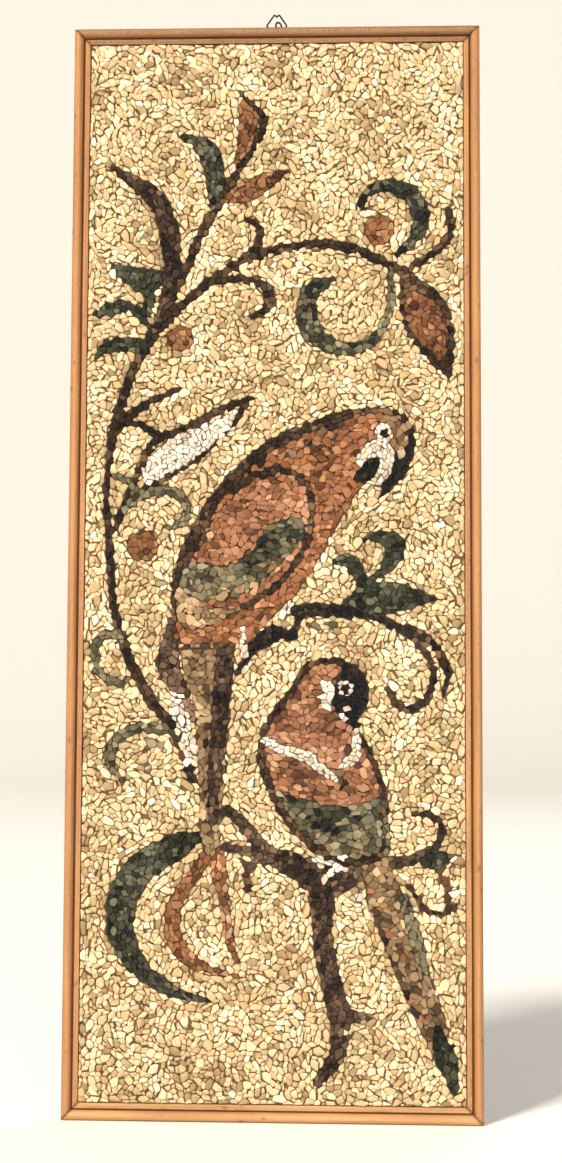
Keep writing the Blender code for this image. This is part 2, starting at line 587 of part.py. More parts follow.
def rail(name, length, reach, turn, parent):
    """A frame rail: the moulding carried along its length and cut at 45 degrees at both ends.

    It is built as the top rail, its outer edge at reach from the centre, and turned about the centre.
    """
    cut = CLEARANCE / math.sqrt(2)
    mesh = bmesh.new()
    ends = []
    for sign in (-1, 1):
        ring = []
        for inward, depth in rail_profile():
            along = sign * (length / 2 - inward - cut)
            ring.append(mesh.verts.new((along, WALL_Y - depth, reach - inward)))
        ends.append(ring)
    for ring in ends:
        mesh.faces.new(ring)
    bmesh.ops.bridge_loops(mesh, edges=[edge for edge in mesh.edges])
    bmesh.ops.rotate(mesh, verts=mesh.verts, matrix=Matrix.Rotation(turn, 3, "Y"))
    bmesh.ops.recalc_face_normals(mesh, faces=mesh.faces)
    return new_object(name, mesh, "wood", parent)


def wooden_frame(parent):
    """The four mitred rails, and the hole in the top one for the screw eye."""
    quarter = math.pi / 2
    half_width, half_height = PANEL_WIDTH / 2, PANEL_HEIGHT / 2
    top = rail("rail_top", PANEL_WIDTH, half_height, 0, parent)
    rail("rail_right", PANEL_HEIGHT, half_width, quarter, parent)
    rail("rail_bottom", PANEL_WIDTH, half_height, 2 * quarter, parent)
    rail("rail_left", PANEL_HEIGHT, half_width, 3 * quarter, parent)
    drill = bmesh.new()
    depth = SHANK_LENGTH + CLEARANCE
    overshoot = EYE_WIRE
    bmesh.ops.create_cone(
        drill,
        cap_ends=True,
        segments=WIRE_SIDES,
        radius1=EYE_WIRE / 2 + CLEARANCE,
        radius2=EYE_WIRE / 2 + CLEARANCE,
        depth=depth + overshoot,
    )
    place = (EYE_OFFSET, 0, half_height + (overshoot - depth) / 2)
    cutter = new_object("shank_hole_cutter", drill, "wood", parent, place)
    cutter.hide_render = True
    cutter.display_type = "WIRE"
    hole = top.modifiers.new("shank hole", "BOOLEAN")
    hole.operation = "DIFFERENCE"
    hole.object = cutter


def backing_board(parent):
    """The board that sits in the rebate, behind the bed."""
    width = OPENING_WIDTH + 2 * (REBATE_WIDTH - CLEARANCE)
    height = OPENING_HEIGHT + 2 * (REBATE_WIDTH - CLEARANCE)
    front = REBATE_DEPTH - CLEARANCE
    size = Matrix.Diagonal((width, BOARD_THICKNESS, height, 1))
    place = Matrix.Translation((0, WALL_Y - front + BOARD_THICKNESS / 2, 0))
    mesh = bmesh.new()
    bmesh.ops.create_cube(mesh, size=1, matrix=place @ size)
    new_object("backing_board", mesh, "board", parent)


def tube(path, radius, sides):
    """Closed tube of round section about a closed path in the XZ plane."""
    count = len(path)
    path = np.asarray(path, float)
    ahead = np.roll(path, -1, axis=0) - path
    ahead /= np.hypot(ahead[:, 0], ahead[:, 1])[:, None]
    bisector = ahead + np.roll(ahead, 1, axis=0)
    bisector /= np.hypot(bisector[:, 0], bisector[:, 1])[:, None]
    outward = np.c_[bisector[:, 1], -bisector[:, 0]]
    widen = 1 / np.abs((outward * np.c_[ahead[:, 1], -ahead[:, 0]]).sum(axis=1))
    mesh = bmesh.new()
    rings = []
    for i in range(count):
        ring = []
        for side in range(sides):
            angle = 2 * math.pi * (side + 0.5) / sides
            across = radius * math.cos(angle) * widen[i]
            x, z = path[i] + across * outward[i]
            ring.append(mesh.verts.new((x, radius * math.sin(angle), z)))
        rings.append(ring)
    for i in range(count):
        ring, following = rings[i], rings[(i + 1) % count]
        for side in range(sides):
            other = (side + 1) % sides
            mesh.faces.new((ring[side], ring[other], following[other], following[side]))
    bmesh.ops.recalc_face_normals(mesh, faces=mesh.faces)
    return mesh


def rounded(corners):
    """Closed path with an arc of the stated radius at each corner, given as ((x, z), radius)."""
    path = []
    count = len(corners)
    for i, (corner, radius) in enumerate(corners):
        corner = np.array(corner, float)
        before = np.array(corners[i - 1][0], float) - corner
        after = np.array(corners[(i + 1) % count][0], float) - corner
        before /= np.hypot(*before)
        after /= np.hypot(*after)
        half = math.acos(float(np.clip(before @ after, -1, 1))) / 2
        bisector = (before + after) / np.hypot(*(before + after))
        centre = corner + bisector * radius / math.sin(half)
        reach = radius / math.tan(half)
        start = corner + before * reach - centre
        end = corner + after * reach - centre
        sweep = math.atan2(start[0] * end[1] - start[1] * end[0], start @ end)
        for step in range(CORNER_STEPS + 1):
            angle = sweep * step / CORNER_STEPS
            turned = (
                start[0] * math.cos(angle) - start[1] * math.sin(angle),
                start[0] * math.sin(angle) + start[1] * math.cos(angle),
            )
            path.append(centre + turned)
    return path


def hanger():
    """The screw eye in the top rail, and the three-cornered ring that stands in it."""
    turn = np.linspace(0, 2 * math.pi, EYE_STEPS, endpoint=False)
    circle = np.c_[EYE_RADIUS * np.cos(turn), EYE_RADIUS * np.sin(turn)]
    loop_mesh = tube(circle, EYE_WIRE / 2, WIRE_SIDES)
    bmesh.ops.rotate(loop_mesh, verts=loop_mesh.verts, matrix=Matrix.Rotation(EYE_TURN, 3, "Z"))
    eye = new_object("screw_eye", loop_mesh, "black_wire", None, (EYE_OFFSET, 0, TOP_Z + EYE_HEIGHT))
    shank_mesh = bmesh.new()
    top = EYE_HEIGHT - EYE_RADIUS
    length = top + SHANK_LENGTH
    bmesh.ops.create_cone(
        shank_mesh,
        cap_ends=True,
        segments=WIRE_SIDES,
        radius1=EYE_WIRE / 2,
        radius2=EYE_WIRE / 2,
        depth=length,
    )
    shank = new_object(
        "shank_form", shank_mesh, "black_wire", None, (EYE_OFFSET, 0, TOP_Z + top - length / 2)
    )
    shank.hide_render = True
    shank.display_type = "WIRE"
    joint = eye.modifiers.new("shank", "BOOLEAN")
    joint.operation = "UNION"
    joint.object = shank
    base, bump = RING_BASE / 2, RING_TOP / 2
    path = rounded([
        ((-base, 0), RING_CORNER), ((base, 0), RING_CORNER), ((bump, RING_CREST), RING_BEND),
        ((0, RING_CREST - RING_VALLEY), RING_BEND), ((-bump, RING_CREST), RING_BEND),
    ])
    ring = tube(path, RING_WIRE / 2, WIRE_SIDES)
    new_object("hanging_ring", ring, "black_wire", None, (0, 0, TOP_Z + RING_BAR_HEIGHT))


def build():
    """Clears the scene and makes every piece."""
    for old in list(bpy.data.objects):
        bpy.data.objects.remove(old)
    panel = bpy.data.objects.new("mosaic_panel", None)
    bpy.context.scene.collection.objects.link(panel)
    panel.location = (0, 0, MIDDLE_Z)
    wooden_frame(panel)
    backing_board(panel)
    areas = [*foliage(), *branches(), *upper_parrot(), *lower_parrot()]
    points, triangles, owner = picture_map(areas)
    background(points, triangles, owner, panel)
    for number, area in enumerate(areas):
        stone_area(area, points, triangles, np.flatnonzero(owner == number).tolist(), panel)
    hanger()


build()
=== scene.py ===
"""Looks of the stone chip panel: every chip laid one by one, the bed, the moulding, the board and the hanger.

Metres, +Z up, the picture faces -Y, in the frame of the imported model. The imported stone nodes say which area
of the picture each point of the opening belongs to, and the chips are fitted into those areas.
"""

import json
import logging
import math
from dataclasses import dataclass, field
from enum import Enum

import bpy
import numpy as np
from mathutils import Euler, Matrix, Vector


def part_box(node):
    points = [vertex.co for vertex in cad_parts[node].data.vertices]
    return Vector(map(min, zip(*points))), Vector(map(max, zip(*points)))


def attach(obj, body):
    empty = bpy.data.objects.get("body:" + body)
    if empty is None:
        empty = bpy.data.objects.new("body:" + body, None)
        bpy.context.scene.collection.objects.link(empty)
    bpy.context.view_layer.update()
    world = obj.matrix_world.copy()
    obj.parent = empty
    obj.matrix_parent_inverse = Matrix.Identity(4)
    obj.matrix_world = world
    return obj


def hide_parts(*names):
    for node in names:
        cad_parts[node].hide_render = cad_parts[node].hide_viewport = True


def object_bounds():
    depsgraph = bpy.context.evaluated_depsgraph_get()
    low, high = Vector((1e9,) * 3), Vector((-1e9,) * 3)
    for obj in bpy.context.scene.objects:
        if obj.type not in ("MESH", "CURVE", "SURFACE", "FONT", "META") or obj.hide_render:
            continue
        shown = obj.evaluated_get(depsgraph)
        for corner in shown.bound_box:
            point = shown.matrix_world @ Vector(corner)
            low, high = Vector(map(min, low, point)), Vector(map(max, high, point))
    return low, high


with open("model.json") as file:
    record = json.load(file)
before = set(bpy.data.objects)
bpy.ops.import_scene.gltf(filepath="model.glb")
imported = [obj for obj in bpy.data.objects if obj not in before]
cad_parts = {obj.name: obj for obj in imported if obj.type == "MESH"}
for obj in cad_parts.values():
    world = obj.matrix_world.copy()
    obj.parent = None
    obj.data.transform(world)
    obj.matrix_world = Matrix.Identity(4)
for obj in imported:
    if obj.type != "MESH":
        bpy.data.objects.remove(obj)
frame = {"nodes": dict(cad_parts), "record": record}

CAD_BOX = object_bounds()
LOG = logging.getLogger("panel")

GROUND = "background_chips"
BODY = "root"
SEED = 20
MM = 0.001
TINY = 1e-12

# The picture's grid: units across and down the opening
GRID_WIDTH, GRID_HEIGHT = 100, 280

Colour = tuple[float, float, float]
Triple = tuple[float, float, float]


def linear(colour: Colour) -> Colour:
    """Linear value of a colour given as 8-bit sRGB: (value / 255) ** 2.2 of each channel."""
    return tuple((channel / 255) ** 2.2 for channel in colour)


def waves(x: np.ndarray, z: np.ndarray, size: float, seed: int, count: int = 9) -> np.ndarray:
    """Smooth random field of about -1 to 1: the sum of sine waves over the root of their number.

    Each wave has a heading, a length and a phase of its own, drawn from the seed.

    Args:
        x, z: Places, in metres.
        size: Typical length of one wave, in metres.
        seed: Seed of the headings, lengths and phases.
        count: Number of waves.

    Returns:
        The field at each place.
    """
    draw = np.random.default_rng(seed)
    heading = draw.uniform(0, 2 * math.pi, count)
    pull = 2 * math.pi / (size * draw.uniform(0.6, 1.8, count))
    phase = draw.uniform(0, 2 * math.pi, count)
    across = x[..., None] * np.cos(heading) + z[..., None] * np.sin(heading)
    return np.sin(across * pull + phase).sum(axis=-1) / math.sqrt(count)


def mesh_object(name: str, points: np.ndarray, faces: list[np.ndarray], sharp: float) -> bpy.types.Object:
    """Object of a mesh given as whole arrays.

    Args:
        name: Name of the piece.
        points: Vertices, one (x, y, z) a row.
        faces: Arrays of vertex numbers, one face a row, each array with its own number of sides.
        sharp: Angle in degrees above which an edge is shaded sharp.

    Returns:
        The object, linked to the scene, with its place in its mesh.
    """
    mesh = bpy.data.meshes.new(name)
    corners = np.concatenate([group.ravel() for group in faces]).astype(np.int32)
    totals = np.concatenate([np.full(len(group), group.shape[1]) for group in faces])
    starts = np.concatenate([[0], np.cumsum(totals)[:-1]]).astype(np.int32)
    mesh.vertices.add(len(points))
    mesh.vertices.foreach_set("co", points.astype(np.float32).ravel())
    mesh.loops.add(len(corners))
    mesh.loops.foreach_set("vertex_index", corners)
    mesh.polygons.add(len(totals))
    mesh.polygons.foreach_set("loop_start", starts)
    mesh.update(calc_edges=True)
    mesh.shade_smooth()
    mesh.set_sharp_from_angle(angle=math.radians(sharp))
    made = bpy.data.objects.new(name, mesh)
    bpy.context.scene.collection.objects.link(made)
    return made


def quads(*corners: np.ndarray) -> np.ndarray:
    """Four-sided faces, one a row, from four arrays of their corners' numbers."""
    return np.stack(corners, axis=-1).reshape(-1, 4)


def centres(outline: np.ndarray) -> tuple[np.ndarray, np.ndarray]:
    """Centre and area of each outline, by the sums over the triangles from its origin to each side.

    Args:
        outline: Corners in order, (n, sides, 2).

    Returns:
        Centres (n, 2) and areas (n,).
    """
    ahead = np.roll(outline, -1, axis=1)
    cross = outline[:, :, 0] * ahead[:, :, 1] - outline[:, :, 1] * ahead[:, :, 0]
    total = cross.sum(axis=1)
    moment = ((outline + ahead) * cross[..., None]).sum(axis=1)
    return moment / (3 * np.maximum(total, TINY))[:, None], total / 2


def paint(piece: bpy.types.Object, name: str, values: np.ndarray) -> None:
    """Stores a value for each vertex as an attribute: a colour where it has three columns, else a number.

    Args:
        piece: The object that carries the attribute.
        name: Name that the material reads.
        values: One row or number for each vertex.
    """
    if values.ndim == 2:
        attribute = piece.data.attributes.new(name, "FLOAT_COLOR", "POINT")
        full = np.c_[values, np.ones(len(values))].astype(np.float32)
        attribute.data.foreach_set("color", full.ravel())
    else:
        attribute = piece.data.attributes.new(name, "FLOAT", "POINT")
        attribute.data.foreach_set("value", values.astype(np.float32))


def settle(piece: bpy.types.Object, material: bpy.types.Material, slot: str, *nodes: str) -> bpy.types.Object:
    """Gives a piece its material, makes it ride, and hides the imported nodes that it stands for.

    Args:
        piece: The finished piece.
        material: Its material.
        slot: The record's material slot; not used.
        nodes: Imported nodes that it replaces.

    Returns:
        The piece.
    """
    piece.data.materials.clear()
    piece.data.materials.append(material)
    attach(piece, BODY)
    if nodes:
        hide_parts(*nodes)
    LOG.info("%s: %d faces", piece.name, len(piece.data.polygons))
    return piece


class Signal:
    """A shader socket that takes part in arithmetic: each operator adds a Math node."""

    def __init__(self, shader: "Shader", socket: bpy.types.NodeSocket) -> None:
        """Wraps one output socket of a shader."""
        self.shader = shader
        self.socket = socket

    def math(self, operation: str, *values: "Signal | float") -> "Signal":
        """Math node of an operation on these values."""
        node = self.shader.node("ShaderNodeMath", {"operation": operation}, dict(enumerate(values)))
        return Signal(self.shader, node.outputs[0])

    def clamp(self) -> "Signal":
        """The value held between 0 and 1."""
        return self.math("MINIMUM", self.math("MAXIMUM", self, 0.0), 1.0)

    def span(self, low: float, high: float) -> "Signal":
        """0 below low and 1 above high, and straight between them."""
        return ((self - low) / (high - low)).clamp()

    def __add__(self, other: "Signal | float") -> "Signal":
        """Sum."""
        return self.math("ADD", self, other)

    def __radd__(self, other: float) -> "Signal":
        """Sum, with the number first."""
        return self.math("ADD", other, self)

    def __sub__(self, other: "Signal | float") -> "Signal":
        """Difference."""
        return self.math("SUBTRACT", self, other)

    def __rsub__(self, other: float) -> "Signal":
        """Difference, with the number first."""
        return self.math("SUBTRACT", other, self)

    def __mul__(self, other: "Signal | float") -> "Signal":
        """Product."""
        return self.math("MULTIPLY", self, other)

    def __rmul__(self, other: float) -> "Signal":
        """Product, with the number first."""
        return self.math("MULTIPLY", other, self)

    def __truediv__(self, other: "Signal | float") -> "Signal":
        """Quotient."""
        return self.math("DIVIDE", self, other)


class Shader:
    """A material's node tree, with one method that adds any node."""

    def __init__(self, name: str) -> None:
        """Makes a material that holds a Principled shader and its output."""
        self.material = bpy.data.materials.new(name)
        self.material.use_nodes = True
        self.tree = self.material.node_tree
        self.surface = self.tree.nodes["Principled BSDF"]

    def node(self, kind: str, settings: dict, inputs: dict) -> bpy.types.Node:
        """Adds a node.

        Args:
            kind: The node's type.
            settings: Its properties, set first. The entry stops holds a ramp's (place, colour) pairs.
            inputs: Values or links by the socket's name or number.

        Returns:
            The node.
        """
        made = self.tree.nodes.new(kind)
        for key, value in settings.items():
            if key == "stops":
                self._set_stops(made.color_ramp, value)
            else:
                setattr(made, key, value)
        for key, value in inputs.items():
            self.feed(made.inputs[key], value)
        return made

    def feed(self, socket: bpy.types.NodeSocket, value: object) -> None:
        """Links a socket to a signal or another socket, or sets it to a plain value."""
        if isinstance(value, Signal):
            self.tree.links.new(value.socket, socket)
        elif isinstance(value, bpy.types.NodeSocket):
            self.tree.links.new(value, socket)
        elif isinstance(value, tuple) and len(value) == 3 and socket.type == "RGBA":
            socket.default_value = (*value, 1)
        else:
            socket.default_value = value

    def _set_stops(self, ramp: bpy.types.ColorRamp, stops: tuple) -> None:
        """Sets a ramp's stops, given as (place, colour) pairs."""
        while len(ramp.elements) < len(stops):
            ramp.elements.new(1)
        for element, (place, colour) in zip(ramp.elements, stops):
            element.position = place
            element.color = (*colour, 1)

    def place(self, scale: Triple = (1, 1, 1)) -> bpy.types.NodeSocket:
        """Object coordinates in metres, stretched by a scale."""
        source = self.node("ShaderNodeTexCoord", {}, {})
        made = self.node("ShaderNodeMapping", {}, {"Vector": source.outputs["Object"], "Scale": scale})
        return made.outputs[0]

    def noise(
        self, place: bpy.types.NodeSocket, scale: float, detail: float = 3, rough: float = 0.5
    ) -> Signal:
        """Noise of about 0.2 to 0.8 at a number of features a metre."""
        inputs = {"Vector": place, "Scale": scale, "Detail": detail, "Roughness": rough}
        return Signal(self, self.node("ShaderNodeTexNoise", {}, inputs).outputs["Fac"])

    def painted(self, name: str) -> tuple[Signal, bpy.types.NodeSocket]:
        """A vertex attribute as a number and as a colour."""
        made = self.node("ShaderNodeAttribute", {"attribute_name": name}, {})
        return Signal(self, made.outputs["Fac"]), made.outputs["Color"]

    def mix(
        self, factor: Signal | float, first: object, second: object, blend: str = "MIX"
    ) -> bpy.types.NodeSocket:
        """Colour mixed from two colours by a factor."""
        settings = {"data_type": "RGBA", "blend_type": blend}
        made = self.node("ShaderNodeMix", settings, {0: factor, 6: first, 7: second})
        return made.outputs[2]

    def bump(self, height: Signal, distance: float, strength: float) -> None:
        """Raises the surface by a height, through a Bump node into the shader's normal."""
        made = self.node("ShaderNodeBump", {}, {"Height": height, "Distance": distance, "Strength": strength})
        self.feed(self.surface.inputs["Normal"], made.outputs[0])

    def finish(self, **values: object) -> bpy.types.Material:
        """Sets the shader's sockets by name, with _ for a space, and gives the material."""
        for key, value in values.items():
            self.feed(self.surface.inputs[key.replace("_", " ")], value)
        return self.material


@dataclass(frozen=True)
class StoneFinish:
    """Broken natural stone: a tone for each chip, mottled, with adhesive on its sides.

    The tones and the smear are 8-bit sRGB colours, the tones from dark to light. The two tints are what
    mottling and specks leave of each channel, and a grain is a number of features a metre.
    """

    tones: tuple[Colour, ...]
    smear: Colour
    patches: float = 0.18
    patch_size: float = 0.07
    scatter: float = 0.26
    hue: float = 0.025
    coarse_grain: float = 330
    fine_grain: float = 1300
    grain_height: float = 0.45 * MM
    mottle: float = 0.25
    mottle_tint: Colour = (0.55, 0.50, 0.42)
    specks: float = 0.45
    speck_tint: Colour = (0.42, 0.35, 0.26)
    roughness: float = 0.74
    shine: float = 0.22

    def colours(self, draw: np.random.Generator, x: np.ndarray, z: np.ndarray) -> np.ndarray:
        """Tone of each chip: the row of tones read at 0.5 + patches * wave + scatter * chance.

        Args:
            draw: Random source.
            x, z: The chips' places.

        Returns:
            One linear colour a row.
        """
        table = np.array([linear(tone) for tone in self.tones])
        place = 0.5 + self.patches * waves(x, z, self.patch_size, SEED) + draw.normal(0, self.scatter, len(x))
        steps = np.linspace(0, 1, len(table))
        mixed = np.stack([np.interp(place, steps, channel) for channel in table.T], axis=1)
        warmth = 1 + draw.normal(0, self.hue, len(x))[:, None] * np.array([1, 0, -1.5])
        return (mixed * warmth).clip(0.004, 0.92)

    def material(self, name: str) -> bpy.types.Material:
        """The stone's material: tone, mottling, dark specks and a fine broken grain."""
        shader = Shader(name)
        place = shader.place()
        _, tone = shader.painted("tone")
        joint, _ = shader.painted("joint")
        coarse = shader.noise(place, self.coarse_grain, 2)
        fine = shader.noise(place, self.fine_grain, 4, 0.65)
        mottled = (coarse.span(0.45, 0.72) * self.mottle).clamp()
        dark = shader.mix(mottled, tone, self.mottle_tint, "MULTIPLY")
        specks = shader.mix(fine.span(0.42, 0.28) * self.specks, dark, self.speck_tint, "MULTIPLY")
        edge = (joint + (coarse - 0.5) * 0.5).span(0.3, 1.0)
        colour = shader.mix(edge, specks, linear(self.smear))
        shader.bump(fine + coarse * 0.8, self.grain_height, 0.5)
        roughness = (self.roughness + (fine - 0.5) * 0.3).clamp()
        return shader.finish(Base_Color=colour, Roughness=roughness, Specular_IOR_Level=self.shine)


class Stone(Enum):
    """The kinds of stone, by the record's slot, with their finishes."""

    CREAM = "cream_stone"
    WHITE = "white_stone"
    TERRACOTTA = "terracotta_stone"
    BRICK = "brick_stone"
    ROSE = "rose_stone"
    BROWN = "brown_stone"
    MAUVE = "mauve_stone"
    TAN = "tan_stone"
    GREEN = "green_stone"
    SAGE = "sage_stone"
    BLACK = "black_stone"


STONES = {
    Stone.CREAM: StoneFinish(
        tones=(
            (160, 135, 98),
            (190, 163, 121),
            (207, 180, 137),
            (218, 193, 151),
            (229, 206, 168),
            (241, 222, 191),
        ),
        smear=(112, 84, 47),
    ),
    Stone.WHITE: StoneFinish(
        tones=((184, 168, 146), (206, 193, 174), (222, 212, 197), (236, 228, 216)),
        smear=(128, 106, 76),
    ),
    Stone.TERRACOTTA: StoneFinish(
        tones=((84, 52, 33), (118, 77, 50), (142, 93, 62), (160, 109, 76), (188, 138, 102)),
        smear=(66, 38, 22),
    ),
    Stone.BRICK: StoneFinish(
        tones=((84, 54, 38), (118, 79, 56), (144, 98, 71), (166, 118, 88), (192, 148, 113)),
        smear=(62, 37, 24),
    ),
    Stone.ROSE: StoneFinish(
        tones=((92, 59, 39), (124, 81, 55), (148, 99, 70), (166, 117, 86), (190, 144, 112)),
        smear=(74, 44, 27),
    ),
    Stone.BROWN: StoneFinish(
        tones=((26, 19, 13), (40, 28, 19), (56, 41, 29), (80, 60, 42), (114, 88, 64)),
        smear=(27, 19, 13),
    ),
    Stone.MAUVE: StoneFinish(
        tones=((34, 25, 20), (52, 39, 31), (74, 57, 45), (98, 78, 61), (132, 106, 84)),
        smear=(33, 24, 18),
    ),
    Stone.TAN: StoneFinish(
        tones=((72, 54, 37), (108, 85, 60), (138, 112, 82), (160, 133, 100), (194, 164, 128)),
        smear=(62, 46, 30),
    ),
    Stone.GREEN: StoneFinish(
        tones=((22, 22, 16), (36, 37, 28), (52, 53, 41), (70, 71, 56), (104, 101, 80)),
        smear=(23, 22, 16),
    ),
    Stone.SAGE: StoneFinish(
        tones=((52, 47, 33), (80, 74, 56), (106, 98, 76), (126, 116, 90), (158, 144, 116)),
        smear=(46, 41, 28),
    ),
    Stone.BLACK: StoneFinish(
        tones=((17, 14, 12), (26, 22, 19), (38, 32, 26), (64, 54, 44)),
        smear=(13, 10, 8),
    ),
}


@dataclass(frozen=True)
class Laying:
    """How the chips of an area are laid and broken.

    pitch is the spacing, joint the width between two chips, and cracks how strongly joints open and close
    along a smooth random field. stretch is the scatter of length over breadth and least_stretch its least,
    swing how far the chips' heading turns along a smooth random field, and uneven the scatter of their size.
    relief, slope and shingle are the scatter of depth, the scatter of tilt and a tilt that all share. bevel
    and drop are the breadth and fall of the shoulder, dome the rise of the middle, and smear the adhesive on
    the shoulder. softened chips have their corners cut off.
    """

    pitch: float
    joint: float = 0.45 * MM
    stretch: float = 0.42
    least_stretch: float = 1.15
    uneven: float = 0.05
    relief: float = 0.42 * MM
    slope: float = 0.11
    shingle: float = 0.0
    bevel: float = 0.55 * MM
    drop: float = 0.42 * MM
    dome: float = 0.28 * MM
    cracks: float = 0.35
    swing: float = 1.6
    smear: float = 0.45
    softened: bool = False


FIELD_LAYING = Laying(
    pitch=5.7 * MM, joint=0.34 * MM, stretch=0.45, least_stretch=2.7, uneven=0.09, relief=0.75 * MM,
    slope=0.27, drop=0.6 * MM, bevel=0.8 * MM, cracks=1.3, softened=True
)
FIGURE_LAYING = Laying(
    pitch=5.4 * MM, joint=0.1 * MM, least_stretch=1.8, uneven=0.08, relief=0.6 * MM, slope=0.24,
    bevel=0.45 * MM, cracks=2.0, smear=0.25
)
FEATHER_LAYING = Laying(
    pitch=5.8 * MM, joint=0.05 * MM, least_stretch=2.4, uneven=0.1, relief=0.65 * MM, slope=0.26,
    shingle=0.06, bevel=0.35 * MM, drop=0.24 * MM, cracks=2.6, swing=0.5, smear=0.12
)
STEM_LAYING = Laying(pitch=6.0 * MM, joint=0.2 * MM, relief=0.5 * MM, slope=0.16, cracks=1.2)
BERRY_LAYING = Laying(
    pitch=5.8 * MM, joint=0.12 * MM, relief=0.45 * MM, slope=0.16, bevel=0.35 * MM, cracks=1.5
)
WHITE_LAYING = Laying(
    pitch=4.8 * MM, joint=0.3 * MM, least_stretch=1.8, relief=0.6 * MM, slope=0.24, cracks=1.1, softened=True
)
EYE_LAYING = Laying(
    pitch=4.2 * MM, joint=0.3 * MM, stretch=0.12, least_stretch=1.0, relief=0.25 * MM, softened=True
)

LAID_AREAS = (
    (FIELD_LAYING, (GROUND,)),
    (STEM_LAYING, ("vine", "perch_hooks")),
    (WHITE_LAYING, ("pale_leaf", "necklace_left", "necklace_right", "upper_cheek")),
    (BERRY_LAYING, ("berry_left", "berry_right", "berry_lower")),
    (FEATHER_LAYING, ("upper_body", "upper_coverts", "upper_flight", "upper_wing_band", "upper_tail")),
    (FEATHER_LAYING, ("lower_body", "lower_belly", "lower_tail")),
    (EYE_LAYING, ("upper_eye_ring", "upper_pupil", "lower_eye_ring", "lower_pupil")),
)
LAYINGS = {area: laying for laying, areas in LAID_AREAS for area in areas}


